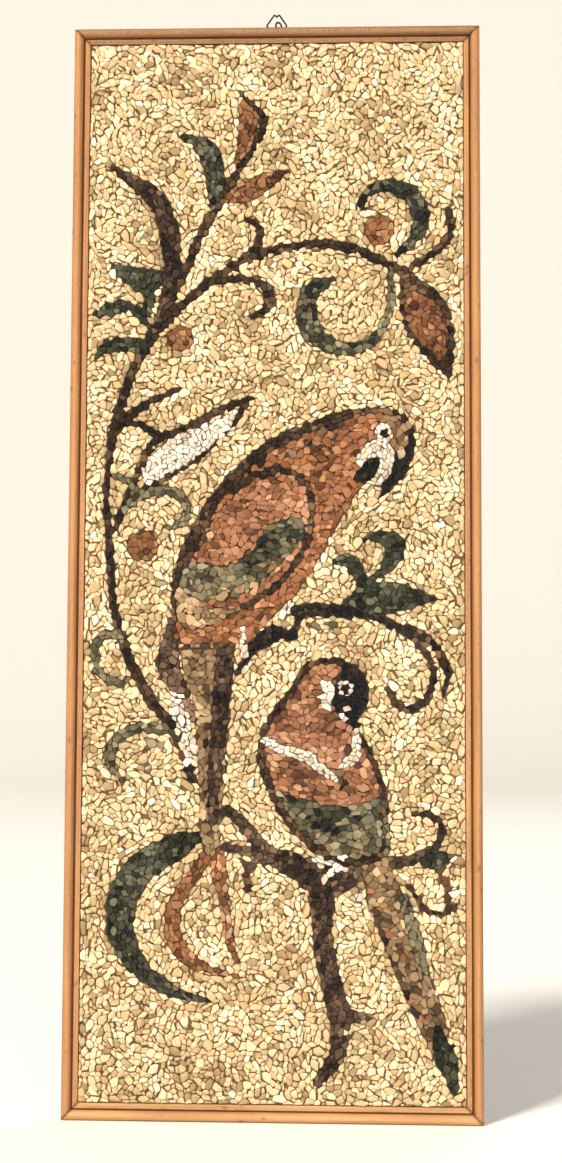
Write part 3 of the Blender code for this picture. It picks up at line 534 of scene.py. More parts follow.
@dataclass
class AreaMap:
    """Map of the opening in small squares: the number of the area each is in, and how far its border is.

    Area 0 is the ground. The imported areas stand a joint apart, so each is grown by half of it. Their borders
    are made ragged, as chips leave them: each square is looked up at a place that smooth random fields move.
    """

    cell: float = 0.5 * MM
    grow: float = 0.17 * MM
    ragged: float = 1.0 * MM
    ragged_size: float = 8 * MM
    reach: int = 22
    names: list[str] = field(default_factory=list)

    def read(self, nodes: dict[str, bpy.types.Object], slots: dict[str, str]) -> None:
        """Fills the map from the front faces of the stone nodes.

        Args:
            nodes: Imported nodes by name.
            slots: The material slot of each node.
        """
        low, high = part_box(GROUND)
        self.low = np.array([low.x, low.z])
        self.count = np.round((np.array([high.x, high.z]) - self.low) / self.cell).astype(int)
        self.labels = np.zeros(self.count, np.int16)
        x, z = (self.low[axis] + (np.arange(self.count[axis]) + 0.5) * self.cell for axis in (0, 1))
        x, z = np.meshgrid(x, z, indexing="ij")
        self.x = x + self.ragged * waves(x, z, self.ragged_size, SEED + 4)
        self.z = z + self.ragged * waves(x, z, self.ragged_size, SEED + 5)
        stones = {stone.value for stone in Stone}
        self.names = [GROUND] + sorted(name for name in nodes if name != GROUND and slots[name] in stones)
        for number, name in enumerate(self.names):
            if number:
                for corners in self._front(nodes[name]):
                    self._fill(corners, number)
        self._measure()

    def _front(self, node: bpy.types.Object) -> np.ndarray:
        """Triangles of a node's front as (x, z) corners."""
        mesh = node.data
        mesh.calc_loop_triangles()
        points = np.empty(len(mesh.vertices) * 3, np.float32)
        mesh.vertices.foreach_get("co", points)
        points = points.reshape(-1, 3)
        corners = np.empty(len(mesh.loop_triangles) * 3, np.int32)
        mesh.loop_triangles.foreach_get("vertices", corners)
        placed = points[corners].reshape(-1, 3, 3)
        front = placed[:, :, 1].max(axis=1) < points[:, 1].min() + 0.05 * MM
        return placed[front][:, :, [0, 2]].astype(float)

    def _fill(self, corners: np.ndarray, number: int) -> None:
        """Marks the squares whose middle lies in a triangle, or less than the growth outside its sides."""
        around = self.grow + 3 * self.ragged
        start = np.floor((corners.min(axis=0) - around - self.low) / self.cell).astype(int).clip(0)
        stop = np.ceil((corners.max(axis=0) + around - self.low) / self.cell).astype(int)
        stop = np.minimum(stop, self.count)
        x = self.x[start[0]:stop[0], start[1]:stop[1]]
        z = self.z[start[0]:stop[0], start[1]:stop[1]]
        side = np.roll(corners, -1, axis=0) - corners
        turn = np.sign(side[0, 0] * side[1, 1] - side[0, 1] * side[1, 0])
        inside = np.ones(x.shape, bool)
        for (from_x, from_z), (step_x, step_z) in zip(corners, side):
            length = math.hypot(step_x, step_z)
            off = step_x * (z - from_z) - step_z * (x - from_x)
            inside &= turn * off / length > -self.grow
        self.labels[start[0]:stop[0], start[1]:stop[1]][inside] = number

    def _measure(self) -> None:
        """Distance of each square from its area's border, spread outwards from there one ring at a time."""
        edge = np.ones(self.labels.shape, bool)
        middle = self.labels[1:-1, 1:-1]
        same = (self.labels[2:, 1:-1] == middle) & (self.labels[:-2, 1:-1] == middle)
        same &= (self.labels[1:-1, 2:] == middle) & (self.labels[1:-1, :-2] == middle)
        edge[1:-1, 1:-1] = ~same
        distance = np.where(edge, np.float32(0.5), np.float32(self.reach))
        for _ in range(self.reach):
            for across, up in ((0, 1), (1, 0), (1, 1), (1, -1)):
                cost = np.float32(math.hypot(across, up))
                for way in (1, -1):
                    moved = np.roll(distance, (across * way, up * way), (0, 1)) + cost
                    np.minimum(distance, moved, out=distance)
        self.distance = distance * self.cell

    def index(self, places: np.ndarray) -> tuple[np.ndarray, np.ndarray]:
        """Row and column of the square that holds each (x, z) place, held inside the map."""
        square = ((places - self.low) / self.cell).astype(int)
        return square[..., 0].clip(0, self.count[0] - 1), square[..., 1].clip(0, self.count[1] - 1)

    def inside(self, places: np.ndarray, number: int) -> np.ndarray:
        """Which (x, z) places lie in the opening and in the area of that number."""
        high = self.low + self.count * self.cell
        within = ((places > self.low) & (places < high)).all(axis=-1)
        return within & (self.labels[self.index(places)] == number)

    def heading(self, places: np.ndarray) -> tuple[np.ndarray, np.ndarray]:
        """Distance from the border at each place, and the angle of the border's own direction there."""
        step = 2 * self.cell
        slope = [
            self.distance[self.index(places + move)] - self.distance[self.index(places - move)]
            for move in (np.array([step, 0]), np.array([0, step]))
        ]
        return self.distance[self.index(places)], np.arctan2(slope[1], slope[0]) + math.pi / 2


# Chips nearer to their area's border than this share of the pitch lie along it
NEAR_BORDER = 0.9


@dataclass
class Seeds:
    """The chips' middles, with each one's area, weight, stretch, own angle and laying."""

    places: np.ndarray
    owner: np.ndarray
    weight: np.ndarray
    stretch: np.ndarray
    lean: np.ndarray
    pitch: np.ndarray
    joint: np.ndarray
    cracks: np.ndarray

    @classmethod
    def joined(cls, parts: list["Seeds"]) -> "Seeds":
        """All the parts' seeds in one."""
        return cls(*(np.concatenate([vars(part)[name] for part in parts]) for name in vars(parts[0])))

    def shapes(self, chart: "AreaMap") -> np.ndarray:
        """Metric of each chip, 1 along its length and its stretch across it.

        The length runs at the chip's own angle, or along the area's border where that is near.
        """
        distance, along = chart.heading(self.places)
        near = distance < NEAR_BORDER * self.pitch
        angle = np.where(near, along, self.lean)
        across = np.stack([-np.sin(angle), np.cos(angle)], axis=-1)
        excess = np.where(near, np.maximum(self.stretch - 1, 0.5), self.stretch - 1)[:, None, None]
        return np.eye(2) + excess * across[:, :, None] * across[:, None, :]


def nearest(places: np.ndarray, count: int, block: int = 400) -> np.ndarray:
    """Numbers of each place's nearest other places, a block of places at a time."""
    count = min(count, len(places) - 1)
    found = []
    for start in range(0, len(places), block):
        gap = places[start:start + block, None] - places[None]
        square = (gap**2).sum(axis=-1)
        square[np.arange(len(square)), start + np.arange(len(square))] = np.inf
        found.append(np.argpartition(square, count - 1, axis=1)[:, :count])
    return np.concatenate(found)


@dataclass
class Fitting:
    """Spreads seeds evenly in one area: each moves a few times to the middle of the ground nearest to it.

    That ground ends half way to each neighbour, on a line that leans with the two chips' mean stretch, and at
    the area's border.
    """

    chart: AreaMap
    number: int
    laying: Laying
    draw: np.random.Generator
    rounds: int = 6
    neighbours: int = 12
    sides: int = 14
    swing_size: float = 40 * MM
    lean_scatter: float = 0.55
    furthest: float = 1.5

    def fit(self) -> Seeds:
        """Makes and spreads the area's seeds."""
        laying = self.laying
        places = self._start()
        count = len(places)
        seeds = Seeds(
            places=places,
            owner=np.full(count, self.number),
            weight=self.draw.normal(0, laying.uneven, count),
            stretch=laying.least_stretch * np.exp(np.abs(self.draw.normal(0, laying.stretch, count))),
            lean=self._lean(places),
            pitch=np.full(count, laying.pitch),
            joint=np.full(count, laying.joint),
            cracks=np.full(count, laying.cracks),
        )
        for _ in range(self.rounds):
            moved = seeds.places + centres(self._reach(seeds))[0]
            keep = self.chart.inside(moved, self.number)
            seeds.places = np.where(keep[:, None], moved, seeds.places)
        return seeds

    def _lean(self, places: np.ndarray) -> np.ndarray:
        """Heading of each chip: a smooth random field times the swing, plus chance."""
        field_angle = self.laying.swing * waves(*places.T, self.swing_size, SEED + 3)
        return field_angle + self.draw.normal(0, self.lean_scatter, len(places))

    def _start(self) -> np.ndarray:
        """Even start: the area's squares in order along strips one pitch high, and every so many of them."""
        columns, rows = np.nonzero(self.chart.labels == self.number)
        pitch = self.laying.pitch
        cell = self.chart.cell
        count = max(1, round(len(rows) * cell**2 / pitch**2))
        strip = (rows * cell / pitch).astype(int)
        order = np.lexsort((columns, strip))
        rank = (np.arange(count) + self.draw.uniform(0.15, 0.85, count)) * len(rows) / count
        chosen = order[rank.astype(int)]
        places = self.chart.low + (np.c_[columns, rows][chosen] + 0.5) * cell
        return places + self.draw.uniform(-0.5, 0.5, places.shape) * cell

    def _reach(self, seeds: Seeds) -> np.ndarray:
        """Outline (n, sides, 2) of the ground nearest to each seed, as points at even angles about it."""
        angle = np.linspace(0, 2 * math.pi, self.sides, endpoint=False)
        ray = np.stack([np.cos(angle), np.sin(angle)], axis=-1)
        furthest = self.furthest * self.laying.pitch
        places = seeds.places
        radius = np.full((len(places), self.sides), furthest)
        if len(places) > 1:
            other = nearest(places, self.neighbours)
            shapes = seeds.shapes(self.chart)
            gap = places[other] - places[:, None]
            share = (0.5 + (seeds.weight[:, None] - seeds.weight[other])).clip(0.35, 0.65)
            normal = ((shapes[:, None] + shapes[other]) @ gap[..., None])[..., 0]
            offset = (gap * normal).sum(axis=-1) * share
            facing = np.einsum("sk,nmk->nsm", ray, normal)
            limit = np.where(facing > 1e-9, offset[:, None] / np.maximum(facing, 1e-9), np.inf)
            radius = np.minimum(radius, limit.min(axis=-1))
        steps = np.arange(self.chart.cell / 2, furthest, self.chart.cell)
        along = places[:, None, None] + ray[:, None] * steps[:, None]
        outside = ~self.chart.inside(along, self.number)
        first = np.where(outside.any(axis=-1), outside.argmax(axis=-1), len(steps))
        radius = np.minimum(radius, np.append(steps, furthest)[first])
        return ray * radius[..., None]


@dataclass
class Breaking:
    """Cuts the chips' outlines out of the whole opening: straight breaks between neighbours, clipped corners.

    Between two chips of one area the break lies about half way, and between two areas on their border. The
    corners are the crossings of two breaks that no other break cuts off. A break opens into a crack where a
    smooth random field is high, alike for both of its chips.
    """

    chart: AreaMap
    draw: np.random.Generator
    neighbours: int = 13
    clips: int = 6
    most: int = 11
    shortest: float = 0.75 * MM
    edge_gap: float = 0.35 * MM
    crack_size: float = 7 * MM
    shift: float = 0.02
    border_shift: float = 0.06
    share_range: tuple[float, float] = (0.22, 0.78)
    opening_range: tuple[float, float] = (-2, 1.9)
    joint_scatter: float = 0.2
    clip_reach: float = 0.8
    least_offset: float = 0.3 * MM
    block: int = 300

    def outlines(self, seeds: Seeds) -> tuple[np.ndarray, np.ndarray]:
        """Corners of every chip about its seed, (n, most, 2), in order, and how many of them count."""
        other = nearest(seeds.places, self.neighbours)
        shapes = seeds.shapes(self.chart)
        border = np.maximum(self.chart.heading(seeds.places)[0], 0.5 * self.chart.cell)
        corners = []
        counts = []
        for start in range(0, len(seeds.places), self.block):
            rows = slice(start, start + self.block)
            normal, offset = self._breaks(seeds, rows, other[rows], shapes, border)
            corner, count = self._crossings(normal, offset)
            corners.append(corner)
            counts.append(count)
        return self._merged(np.concatenate(corners), np.concatenate(counts))

    def _breaks(
        self, seeds: Seeds, rows: slice, other: np.ndarray, shapes: np.ndarray, border: np.ndarray
    ) -> tuple[np.ndarray, np.ndarray]:
        """Lines that bound some chips, as unit normals (n, m, 2) and offsets (n, m) from the seeds.

        The lines are those between neighbours, the clips at even angles about the seed, further out along the
        chip than across it, and the four sides of the opening.

        Args:
            seeds: All the seeds.
            rows: The chips to bound.
            other: Their neighbours.
            shapes: Every chip's metric.
            border: Every seed's distance from its area's border.

        Returns:
            The normals and the offsets.
        """
        place = seeds.places[rows]
        gap = seeds.places[other] - place[:, None]
        even = 0.5 + seeds.weight[rows][:, None] - seeds.weight[other]
        even = even + self.draw.normal(0, self.shift, other.shape)
        bordering = border[rows][:, None] / (border[rows][:, None] + border[other])
        bordering = bordering + self.draw.normal(0, self.border_shift, other.shape)
        same = seeds.owner[other] == seeds.owner[rows][:, None]
        share = np.where(same, even, bordering).clip(*self.share_range)
        normal = ((shapes[rows][:, None] + shapes[other]) @ gap[..., None])[..., 0]
        normal /= np.linalg.norm(normal, axis=-1, keepdims=True)
        middle = place[:, None] + gap / 2
        opened = waves(middle[..., 0], middle[..., 1], self.crack_size, SEED + 2)
        opened = opened * (seeds.cracks[rows][:, None] + seeds.cracks[other]) / 2
        joint = (seeds.joint[rows][:, None] + seeds.joint[other]) / 4
        chance = self.draw.normal(0, self.joint_scatter, other.shape)
        joint = joint * np.exp(opened.clip(*self.opening_range) + chance)
        offset = (gap * normal).sum(axis=-1) * share - joint
        turn = self.draw.uniform(0, 2 * math.pi, len(place))[:, None]
        turn = turn + np.arange(self.clips) * 2 * math.pi / self.clips
        turn = turn + self.draw.uniform(-0.3, 0.3, turn.shape)
        clip = np.stack([np.cos(turn), np.sin(turn)], axis=-1)
        pulled = np.linalg.solve(shapes[rows][:, None], clip[..., None])[..., 0]
        stretch = np.sqrt((pulled * clip).sum(axis=-1) * np.sqrt(seeds.stretch[rows])[:, None])
        reach = self.clip_reach * seeds.pitch[rows][:, None] * stretch
        reach = reach * self.draw.uniform(0.85, 1.3, turn.shape)
        side = np.broadcast_to([[1, 0], [-1, 0], [0, 1], [0, -1]], (len(place), 4, 2))
        high = self.chart.low + self.chart.count * self.chart.cell
        room = np.concatenate([high - place, place - self.chart.low], axis=1)[:, [0, 2, 1, 3]] - self.edge_gap
        normals = np.concatenate([normal, clip, side], axis=1)
        offsets = np.concatenate([offset, reach, room], axis=1)
        return normals, offsets.clip(self.least_offset)

    def _crossings(self, normal: np.ndarray, offset: np.ndarray) -> tuple[np.ndarray, np.ndarray]:
        """Corners of the cells that lines bound: for lines a and b the crossing (oa nb - ob na) / (na x nb).

        Args:
            normal: Unit normals (n, m, 2).
            offset: Offsets (n, m).

        Returns:
            Corners in order round each cell, padded to (n, most, 2), and their number.
        """
        first, second = np.triu_indices(normal.shape[1], 1)
        one, two = normal[:, first], normal[:, second]
        cross = one[..., 0] * two[..., 1] - one[..., 1] * two[..., 0]
        cross = np.where(np.abs(cross) > 1e-6, cross, np.nan)
        x = (offset[:, first] * two[..., 1] - offset[:, second] * one[..., 1]) / cross
        y = (one[..., 0] * offset[:, second] - two[..., 0] * offset[:, first]) / cross
        point = np.stack([x, y], axis=-1)
        over = np.einsum("npk,nmk->npm", point, normal) - offset[:, None]
        good = (over < 1e-8).all(axis=-1)
        angle = np.where(good, np.arctan2(y, x), np.inf)
        order = np.argsort(angle, axis=1)[:, :self.most]
        corner = np.take_along_axis(point, order[..., None], axis=1)
        return corner, np.minimum(good.sum(axis=1), self.most)

    def _merged(self, corner: np.ndarray, count: np.ndarray) -> tuple[np.ndarray, np.ndarray]:
        """Joins the ends of sides that are too short, one side of each cell at a time."""
        number = np.arange(self.most)
        rows = np.arange(len(corner))
        for _ in range(self.most - 3):
            ahead = np.where(number + 1 < count[:, None], number + 1, 0)
            there = np.take_along_axis(corner, ahead[..., None], axis=1)
            side = np.linalg.norm(there - corner, axis=-1)
            side = np.where(number < count[:, None], side, np.inf)
            worst = side.argmin(axis=1)
            small = (side[rows, worst] < self.shortest) & (count > 3)
            if not small.any():
                break
            middle = (corner[rows, worst] + there[rows, worst]) / 2
            corner[rows[small], worst[small]] = middle[small]
            dropped = (number == ahead[rows, worst][:, None]) & small[:, None]
            order = np.argsort(dropped | (number >= count[:, None]), axis=1, kind="stable")
            corner = np.take_along_axis(corner, order[..., None], axis=1)
            count = count - small
        return corner, count


@dataclass(frozen=True)
class Accent:
    """A stroke of chips in another stone, through points (across, down) on the picture's grid.

    share is how many of the chips under it change, and area, where given, the only area that it changes.
    """

    stone: Stone
    points: tuple[tuple[float, float], ...]
    width: float
    share: float = 1.0
    area: str = ""

    def covers(self, places: np.ndarray, chart: AreaMap) -> np.ndarray:
        """Which (x, z) places lie within half a width of the stroke."""
        size = chart.count * chart.cell
        across = (places[:, 0] - chart.low[0]) / size[0] * GRID_WIDTH
        down = GRID_HEIGHT - (places[:, 1] - chart.low[1]) / size[1] * GRID_HEIGHT
        grid = np.c_[across, down]
        start = np.array(self.points, float)[:-1]
        step = np.array(self.points, float)[1:] - start
        away = grid[:, None] - start
        share = ((away * step).sum(axis=-1) / (step**2).sum(axis=-1)).clip(0, 1)
        gap = away - share[..., None] * step
        return np.hypot(gap[..., 0], gap[..., 1]).min(axis=1) < self.width / 2


ACCENTS = (
    Accent(Stone.WHITE, ((24.2, 175.4), (25, 180), (27.2, 185.6), (28.6, 192)), 3.6),
    Accent(Stone.WHITE, ((42.4, 157.6), (42.6, 164)), 2.4),
    Accent(Stone.WHITE, ((52, 153.6), (54.4, 151.6)), 1.8),
    Accent(Stone.WHITE, ((64.2, 171.8), (63.4, 177)), 2.8),
    Accent(Stone.WHITE, ((69, 177.4), (69.4, 177.8)), 1.6),
    Accent(Stone.WHITE, ((67.8, 180.4), (69.4, 181)), 1.2),
    Accent(Stone.BROWN, ((66.6, 193.8), (69, 199.6)), 1.4),
    Accent(Stone.TAN, ((80.6, 101.8), (84.2, 103.8), (84.6, 107.4), (82.8, 110)), 3.0),
    Accent(Stone.SAGE, ((56, 157.4), (59, 156.4), (66, 156)), 1.2),
    Accent(Stone.WHITE, ((61.6, 217.6), (68, 219.4)), 2.2),
    Accent(Stone.WHITE, ((63.4, 222.4), (65.6, 220.6)), 1.2),
    Accent(Stone.WHITE, ((68.4, 216.8), (68.8, 217.2)), 2),
    Accent(Stone.WHITE, ((72, 227), (72.6, 229)), 1.8),
    Accent(Stone.WHITE, ((65.6, 252.6), (65.7, 252.6)), 1.1),
    Accent(Stone.WHITE, ((66.2, 255.8), (66.3, 255.8)), 1.1),
    Accent(Stone.WHITE, ((67.4, 259.2), (67.5, 259.2)), 1.1),
    Accent(Stone.WHITE, ((69.2, 262), (69.3, 262)), 1.1),
    Accent(Stone.MAUVE, ((75, 227), (79, 238), (82, 247), (87, 256)), 2, 0.5, "lower_tail"),
    Accent(Stone.ROSE, ((73, 224), (80, 243), (89, 262)), 9, 0.15, "lower_tail"),
    Accent(Stone.TAN, ((39, 162), (36.5, 185), (35.6, 203)), 6, 0.45, "upper_tail_feather"),
    Accent(Stone.BROWN, ((33.4, 183), (33.6, 200)), 2.6, 0.5),
    Accent(Stone.TAN, ((37.5, 215), (40, 238)), 4, 0.35, "amber_plume"),
    Accent(Stone.BROWN, ((84, 153), (93, 160), (94, 170), (86, 175), (79, 172)), 10, 0.7, "upper_branch"),
    Accent(
        Stone.BROWN, ((93.8, 220.8), (95.2, 225), (96, 229), (94.6, 231.2), (91.6, 231), (89, 229.6)), 2.2
    ),
    Accent(Stone.MAUVE, ((85.4, 224.6), (87.6, 226.4), (88.6, 229.6)), 2),
    Accent(Stone.MAUVE, ((50, 217.4), (46, 217.6), (43, 219.4), (42.8, 222), (44.4, 225.4)), 2),
    Accent(Stone.SAGE, ((23.8, 186.8), (18.4, 187.8), (16, 190.8), (17.4, 194.8)), 1.5, 0.8),
    Accent(Stone.GREEN, ((53, 203), (66, 207), (79, 204)), 7, 0.45, "lower_belly"),
    Accent(Stone.TAN, ((65, 215), (78, 217)), 4, 0.55, "lower_belly"),
    Accent(Stone.SAGE, ((79.8, 202), (80, 216)), 3, 0.7, "lower_outline"),
    Accent(Stone.GREEN, ((64.4, 64.6), (58.2, 72), (60, 79), (68, 83.2), (74, 82)), 7, 0.7, "ring_scroll"),
    Accent(Stone.MAUVE, ((32, 133), (44, 116), (60, 106), (72, 103)), 5, 0.3, "upper_body"),
    Accent(Stone.GREEN, ((46, 138), (54, 132), (57, 124)), 9, 0.4, "upper_wing_band"),
    Accent(Stone.TAN, ((30, 150), (42, 148), (52, 142)), 9, 0.25, "upper_wing_band"),
)


# How much of each channel of its stone's tones an area keeps, where it is darker than others of that stone
SHADES = {
    "drop_leaf": (0.62, 0.55, 0.46),
    "tulip_leaf": (0.64, 0.58, 0.50),
    "small_leaf": (0.66, 0.62, 0.54),
    "berry_left": (0.68, 0.68, 0.62),
    "berry_right": (0.68, 0.68, 0.62),
    "berry_lower": (0.72, 0.74, 0.68),
    "amber_crescent": (0.92, 0.96, 0.94),
    "vine": (0.74, 0.72, 0.70),
    "crown_leaf": (0.78, 0.74, 0.72),
    "perch": (0.86, 0.84, 0.84),
}


@dataclass
class ChipWork:
    """Lays the chips of every area as closed stones: foot in the bed, shoulder, crown and raised middle.

    behind is how far the chips stay behind the frame's front, proud how far one may stand over the packed
    stones' front, and steepest the most that one tilts. waist is the foot's size against the shoulder's, and
    off_centre how far the middle may lie from the centre. A range holds the least and the most of a factor.
    """

    chart: AreaMap
    slots: dict[str, str]
    ground_pieces: int = 4
    foot_depth: float = 10.0 * MM
    behind: float = 0.4 * MM
    proud: float = 0.9 * MM
    steepest: float = 0.42
    rough: float = 0.13 * MM
    smallest: float = 2.2 * MM**2
    waist: float = 0.98
    off_centre: float = 0.35
    bevel_range: tuple[float, float] = (0.5, 0.92)
    crown_range: tuple[float, float] = (0.94, 1.06)
    drop_range: tuple[float, float] = (0.6, 1.4)
    dome_range: tuple[float, float] = (0.1, 1.9)
    smear_range: tuple[float, float] = (0.2, 1)
    corner_cut: tuple[float, float] = (0.03, 0.16)

    def build(self) -> None:
        """Fits, breaks, builds and dresses the chips, area by area."""
        materials = {stone: finish.material(stone.value) for stone, finish in STONES.items()}
        layings = [LAYINGS.get(name, FIGURE_LAYING) for name in self.chart.names]
        parts = [
            Fitting(self.chart, number, laying, np.random.default_rng(SEED + number)).fit()
            for number, laying in enumerate(layings)
        ]
        seeds = Seeds.joined(parts)
        corners, counts = Breaking(self.chart, np.random.default_rng(SEED)).outlines(seeds)
        LOG.info("chips: %d", len(counts))
        for number, name in enumerate(self.chart.names):
            draw = np.random.default_rng(SEED + number)
            stone = Stone(self.slots[name])
            rows = np.flatnonzero(seeds.owner == number)
            tones = self._tones(name, stone, seeds.places[rows], draw)
            for part, chosen in self._parts(name, seeds.places[rows]):
                picked = rows[chosen]
                chips = (seeds.places[picked], corners[picked], counts[picked], tones[chosen])
                piece = self._stones(part, *chips, layings[number], draw)
                settle(piece, materials[stone], stone.value, name)

    def _parts(self, name: str, places: np.ndarray) -> list[tuple[str, np.ndarray]]:
        """The pieces an area is made in: the ground in bands down its height, any other area in one."""
        if name != GROUND:
            return [(f"{name}_chips", np.ones(len(places), bool))]
        band = np.argsort(np.argsort(-places[:, 1])) * self.ground_pieces // len(places)
        return [(f"ground_chips_{part + 1}", band == part) for part in range(self.ground_pieces)]

    def _tones(self, name: str, stone: Stone, places: np.ndarray, draw: np.random.Generator) -> np.ndarray:
        """Tone of each of an area's chips, with the accents' stone where a stroke covers it."""
        x, z = places.T
        tones = STONES[stone].colours(draw, x, z) * SHADES.get(name, (1, 1, 1))
        for accent in (accent for accent in ACCENTS if accent.area in ("", name)):
            covered = accent.covers(places, self.chart) & (draw.uniform(size=len(x)) < accent.share)
            tones[covered] = STONES[accent.stone].colours(draw, x[covered], z[covered])
        return tones

    def _stones(
        self,
        name: str,
        places: np.ndarray,
        corners: np.ndarray,
        counts: np.ndarray,
        tones: np.ndarray,
        laying: Laying,
        draw: np.random.Generator,
    ) -> bpy.types.Object:
        """One piece of all these chips, made in groups with the same number of corners.

        Args:
            name: Name of the piece.
            places: The chips' seeds.
            corners: Their corners about the seeds.
            counts: How many of the corners count.
            tones: One colour a chip.
            laying: How they are laid.
            draw: Random source.

        Returns:
            The piece.
        """
        points, faces, colours, joints = [], [], [], []
        first = 0
        for count in np.unique(counts[counts > 2]):
            chosen = counts == count
            outline = corners[chosen][:, :count]
            if laying.softened:
                outline = self._softened(outline, draw)
            place, outline, good = self._centred(places[chosen], outline)
            made, joint = self._rings(place[good], outline[good], laying, draw)
            sides = outline.shape[1]
            faces += [group + first for group in self._faces(len(made), sides)]
            points.append(made.reshape(-1, 3))
            colours.append(np.repeat(tones[chosen][good], 3 * sides + 1, axis=0))
            joints.append(joint.ravel())
            first += made.shape[0] * made.shape[1]
        piece = mesh_object(name, np.concatenate(points), faces, 32)
        paint(piece, "tone", np.concatenate(colours))
        paint(piece, "joint", np.concatenate(joints))
        return piece

    def _softened(self, outline: np.ndarray, draw: np.random.Generator) -> np.ndarray:
        """Outline with each corner cut off, a little way along both of its sides."""
        before = np.roll(outline, 1, axis=1) - outline
        after = np.roll(outline, -1, axis=1) - outline
        share = draw.uniform(*self.corner_cut, (2, *outline.shape[:2], 1))
        pair = np.stack([outline + before * share[0], outline + after * share[1]], axis=2)
        return pair.reshape(len(outline), -1, 2)

    def _centred(
        self, places: np.ndarray, outline: np.ndarray
    ) -> tuple[np.ndarray, np.ndarray, np.ndarray]:
        """Places moved to the outlines' centres of area, the outlines about them, and which are kept."""
        middle, area = centres(outline)
        return places + middle, outline - middle[:, None], area > self.smallest

    def _rings(
        self, places: np.ndarray, outline: np.ndarray, laying: Laying, draw: np.random.Generator
    ) -> tuple[np.ndarray, np.ndarray]:
        """Points of chips with the same number of sides: foot, shoulder, crown and middle.

        The depth of a point, off the wall, is the chip's own depth plus its slope times the point's place,
        less the shoulder's drop, plus a little chance. The middle lies off the centre, so the crown breaks
        into facets.

        Args:
            places: The chips' middles.
            outline: Their outlines about them.
            laying: How they are laid.
            draw: Random source.

        Returns:
            Points (n, 3 * sides + 1, 3), and how much adhesive each holds.
        """
        foremost, wall = (corner.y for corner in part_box("rail_top"))
        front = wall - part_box(GROUND)[0].y
        count, sides = outline.shape[:2]
        size = np.linalg.norm(outline, axis=-1).mean(axis=1)
        inset = (1 - laying.bevel / size).clip(*self.bevel_range)[:, None, None]
        crown = outline * inset * draw.uniform(*self.crown_range, (count, sides, 1))
        off = draw.uniform(-self.off_centre, self.off_centre, (count, 2))
        apex = crown.mean(axis=1) + off * size[:, None]
        relief = laying.relief
        depth = front + draw.normal(-0.3 * relief, relief, count).clip(-2 * relief, self.proud)
        slope = draw.normal(0, laying.slope, (count, 2)).clip(-self.steepest, self.steepest)
        slope[:, 1] -= laying.shingle
        shoulder_depth = depth[:, None] + (outline * slope[:, None]).sum(axis=-1)
        shoulder_depth -= laying.drop * draw.uniform(*self.drop_range, (count, sides))
        crown_depth = depth[:, None] + (crown * slope[:, None]).sum(axis=-1)
        crown_depth += draw.normal(0, self.rough, (count, sides))
        apex_depth = depth + (apex * slope).sum(axis=-1) + laying.dome * draw.uniform(*self.dome_range, count)
        foot_depth = np.full((count, sides), self.foot_depth)
        plan = np.concatenate([outline * self.waist, outline, crown, apex[:, None]], axis=1) + places[:, None]
        depths = np.concatenate([foot_depth, shoulder_depth, crown_depth, apex_depth[:, None]], axis=1)
        depths = np.minimum(depths, wall - foremost - self.behind)
        points = np.stack([plan[..., 0], wall - depths, plan[..., 1]], axis=-1)
        shoulder = draw.uniform(*self.smear_range, (count, sides)) * laying.smear
        joint = np.concatenate([np.ones((count, sides)), shoulder, np.zeros((count, sides + 1))], axis=1)
        return points, joint

    def _faces(self, count: int, sides: int) -> list[np.ndarray]:
        """Faces of count stones with the same number of sides, each facing out."""
        first = (np.arange(count) * (3 * sides + 1))[:, None]
        here = np.arange(sides)[None]
        ahead = (np.arange(sides)[None] + 1) % sides
        walls = []
        for ring in (0, sides):
            low, low_ahead = first + ring + here, first + ring + ahead
            walls.append(quads(low, low_ahead, low_ahead + sides, low + sides))
        top = np.stack([here, ahead, np.full_like(here, sides)], axis=-1) + 2 * sides + first[..., None]
        base = first + here[:, ::-1]
        return [*walls, top.reshape(-1, 3), base]


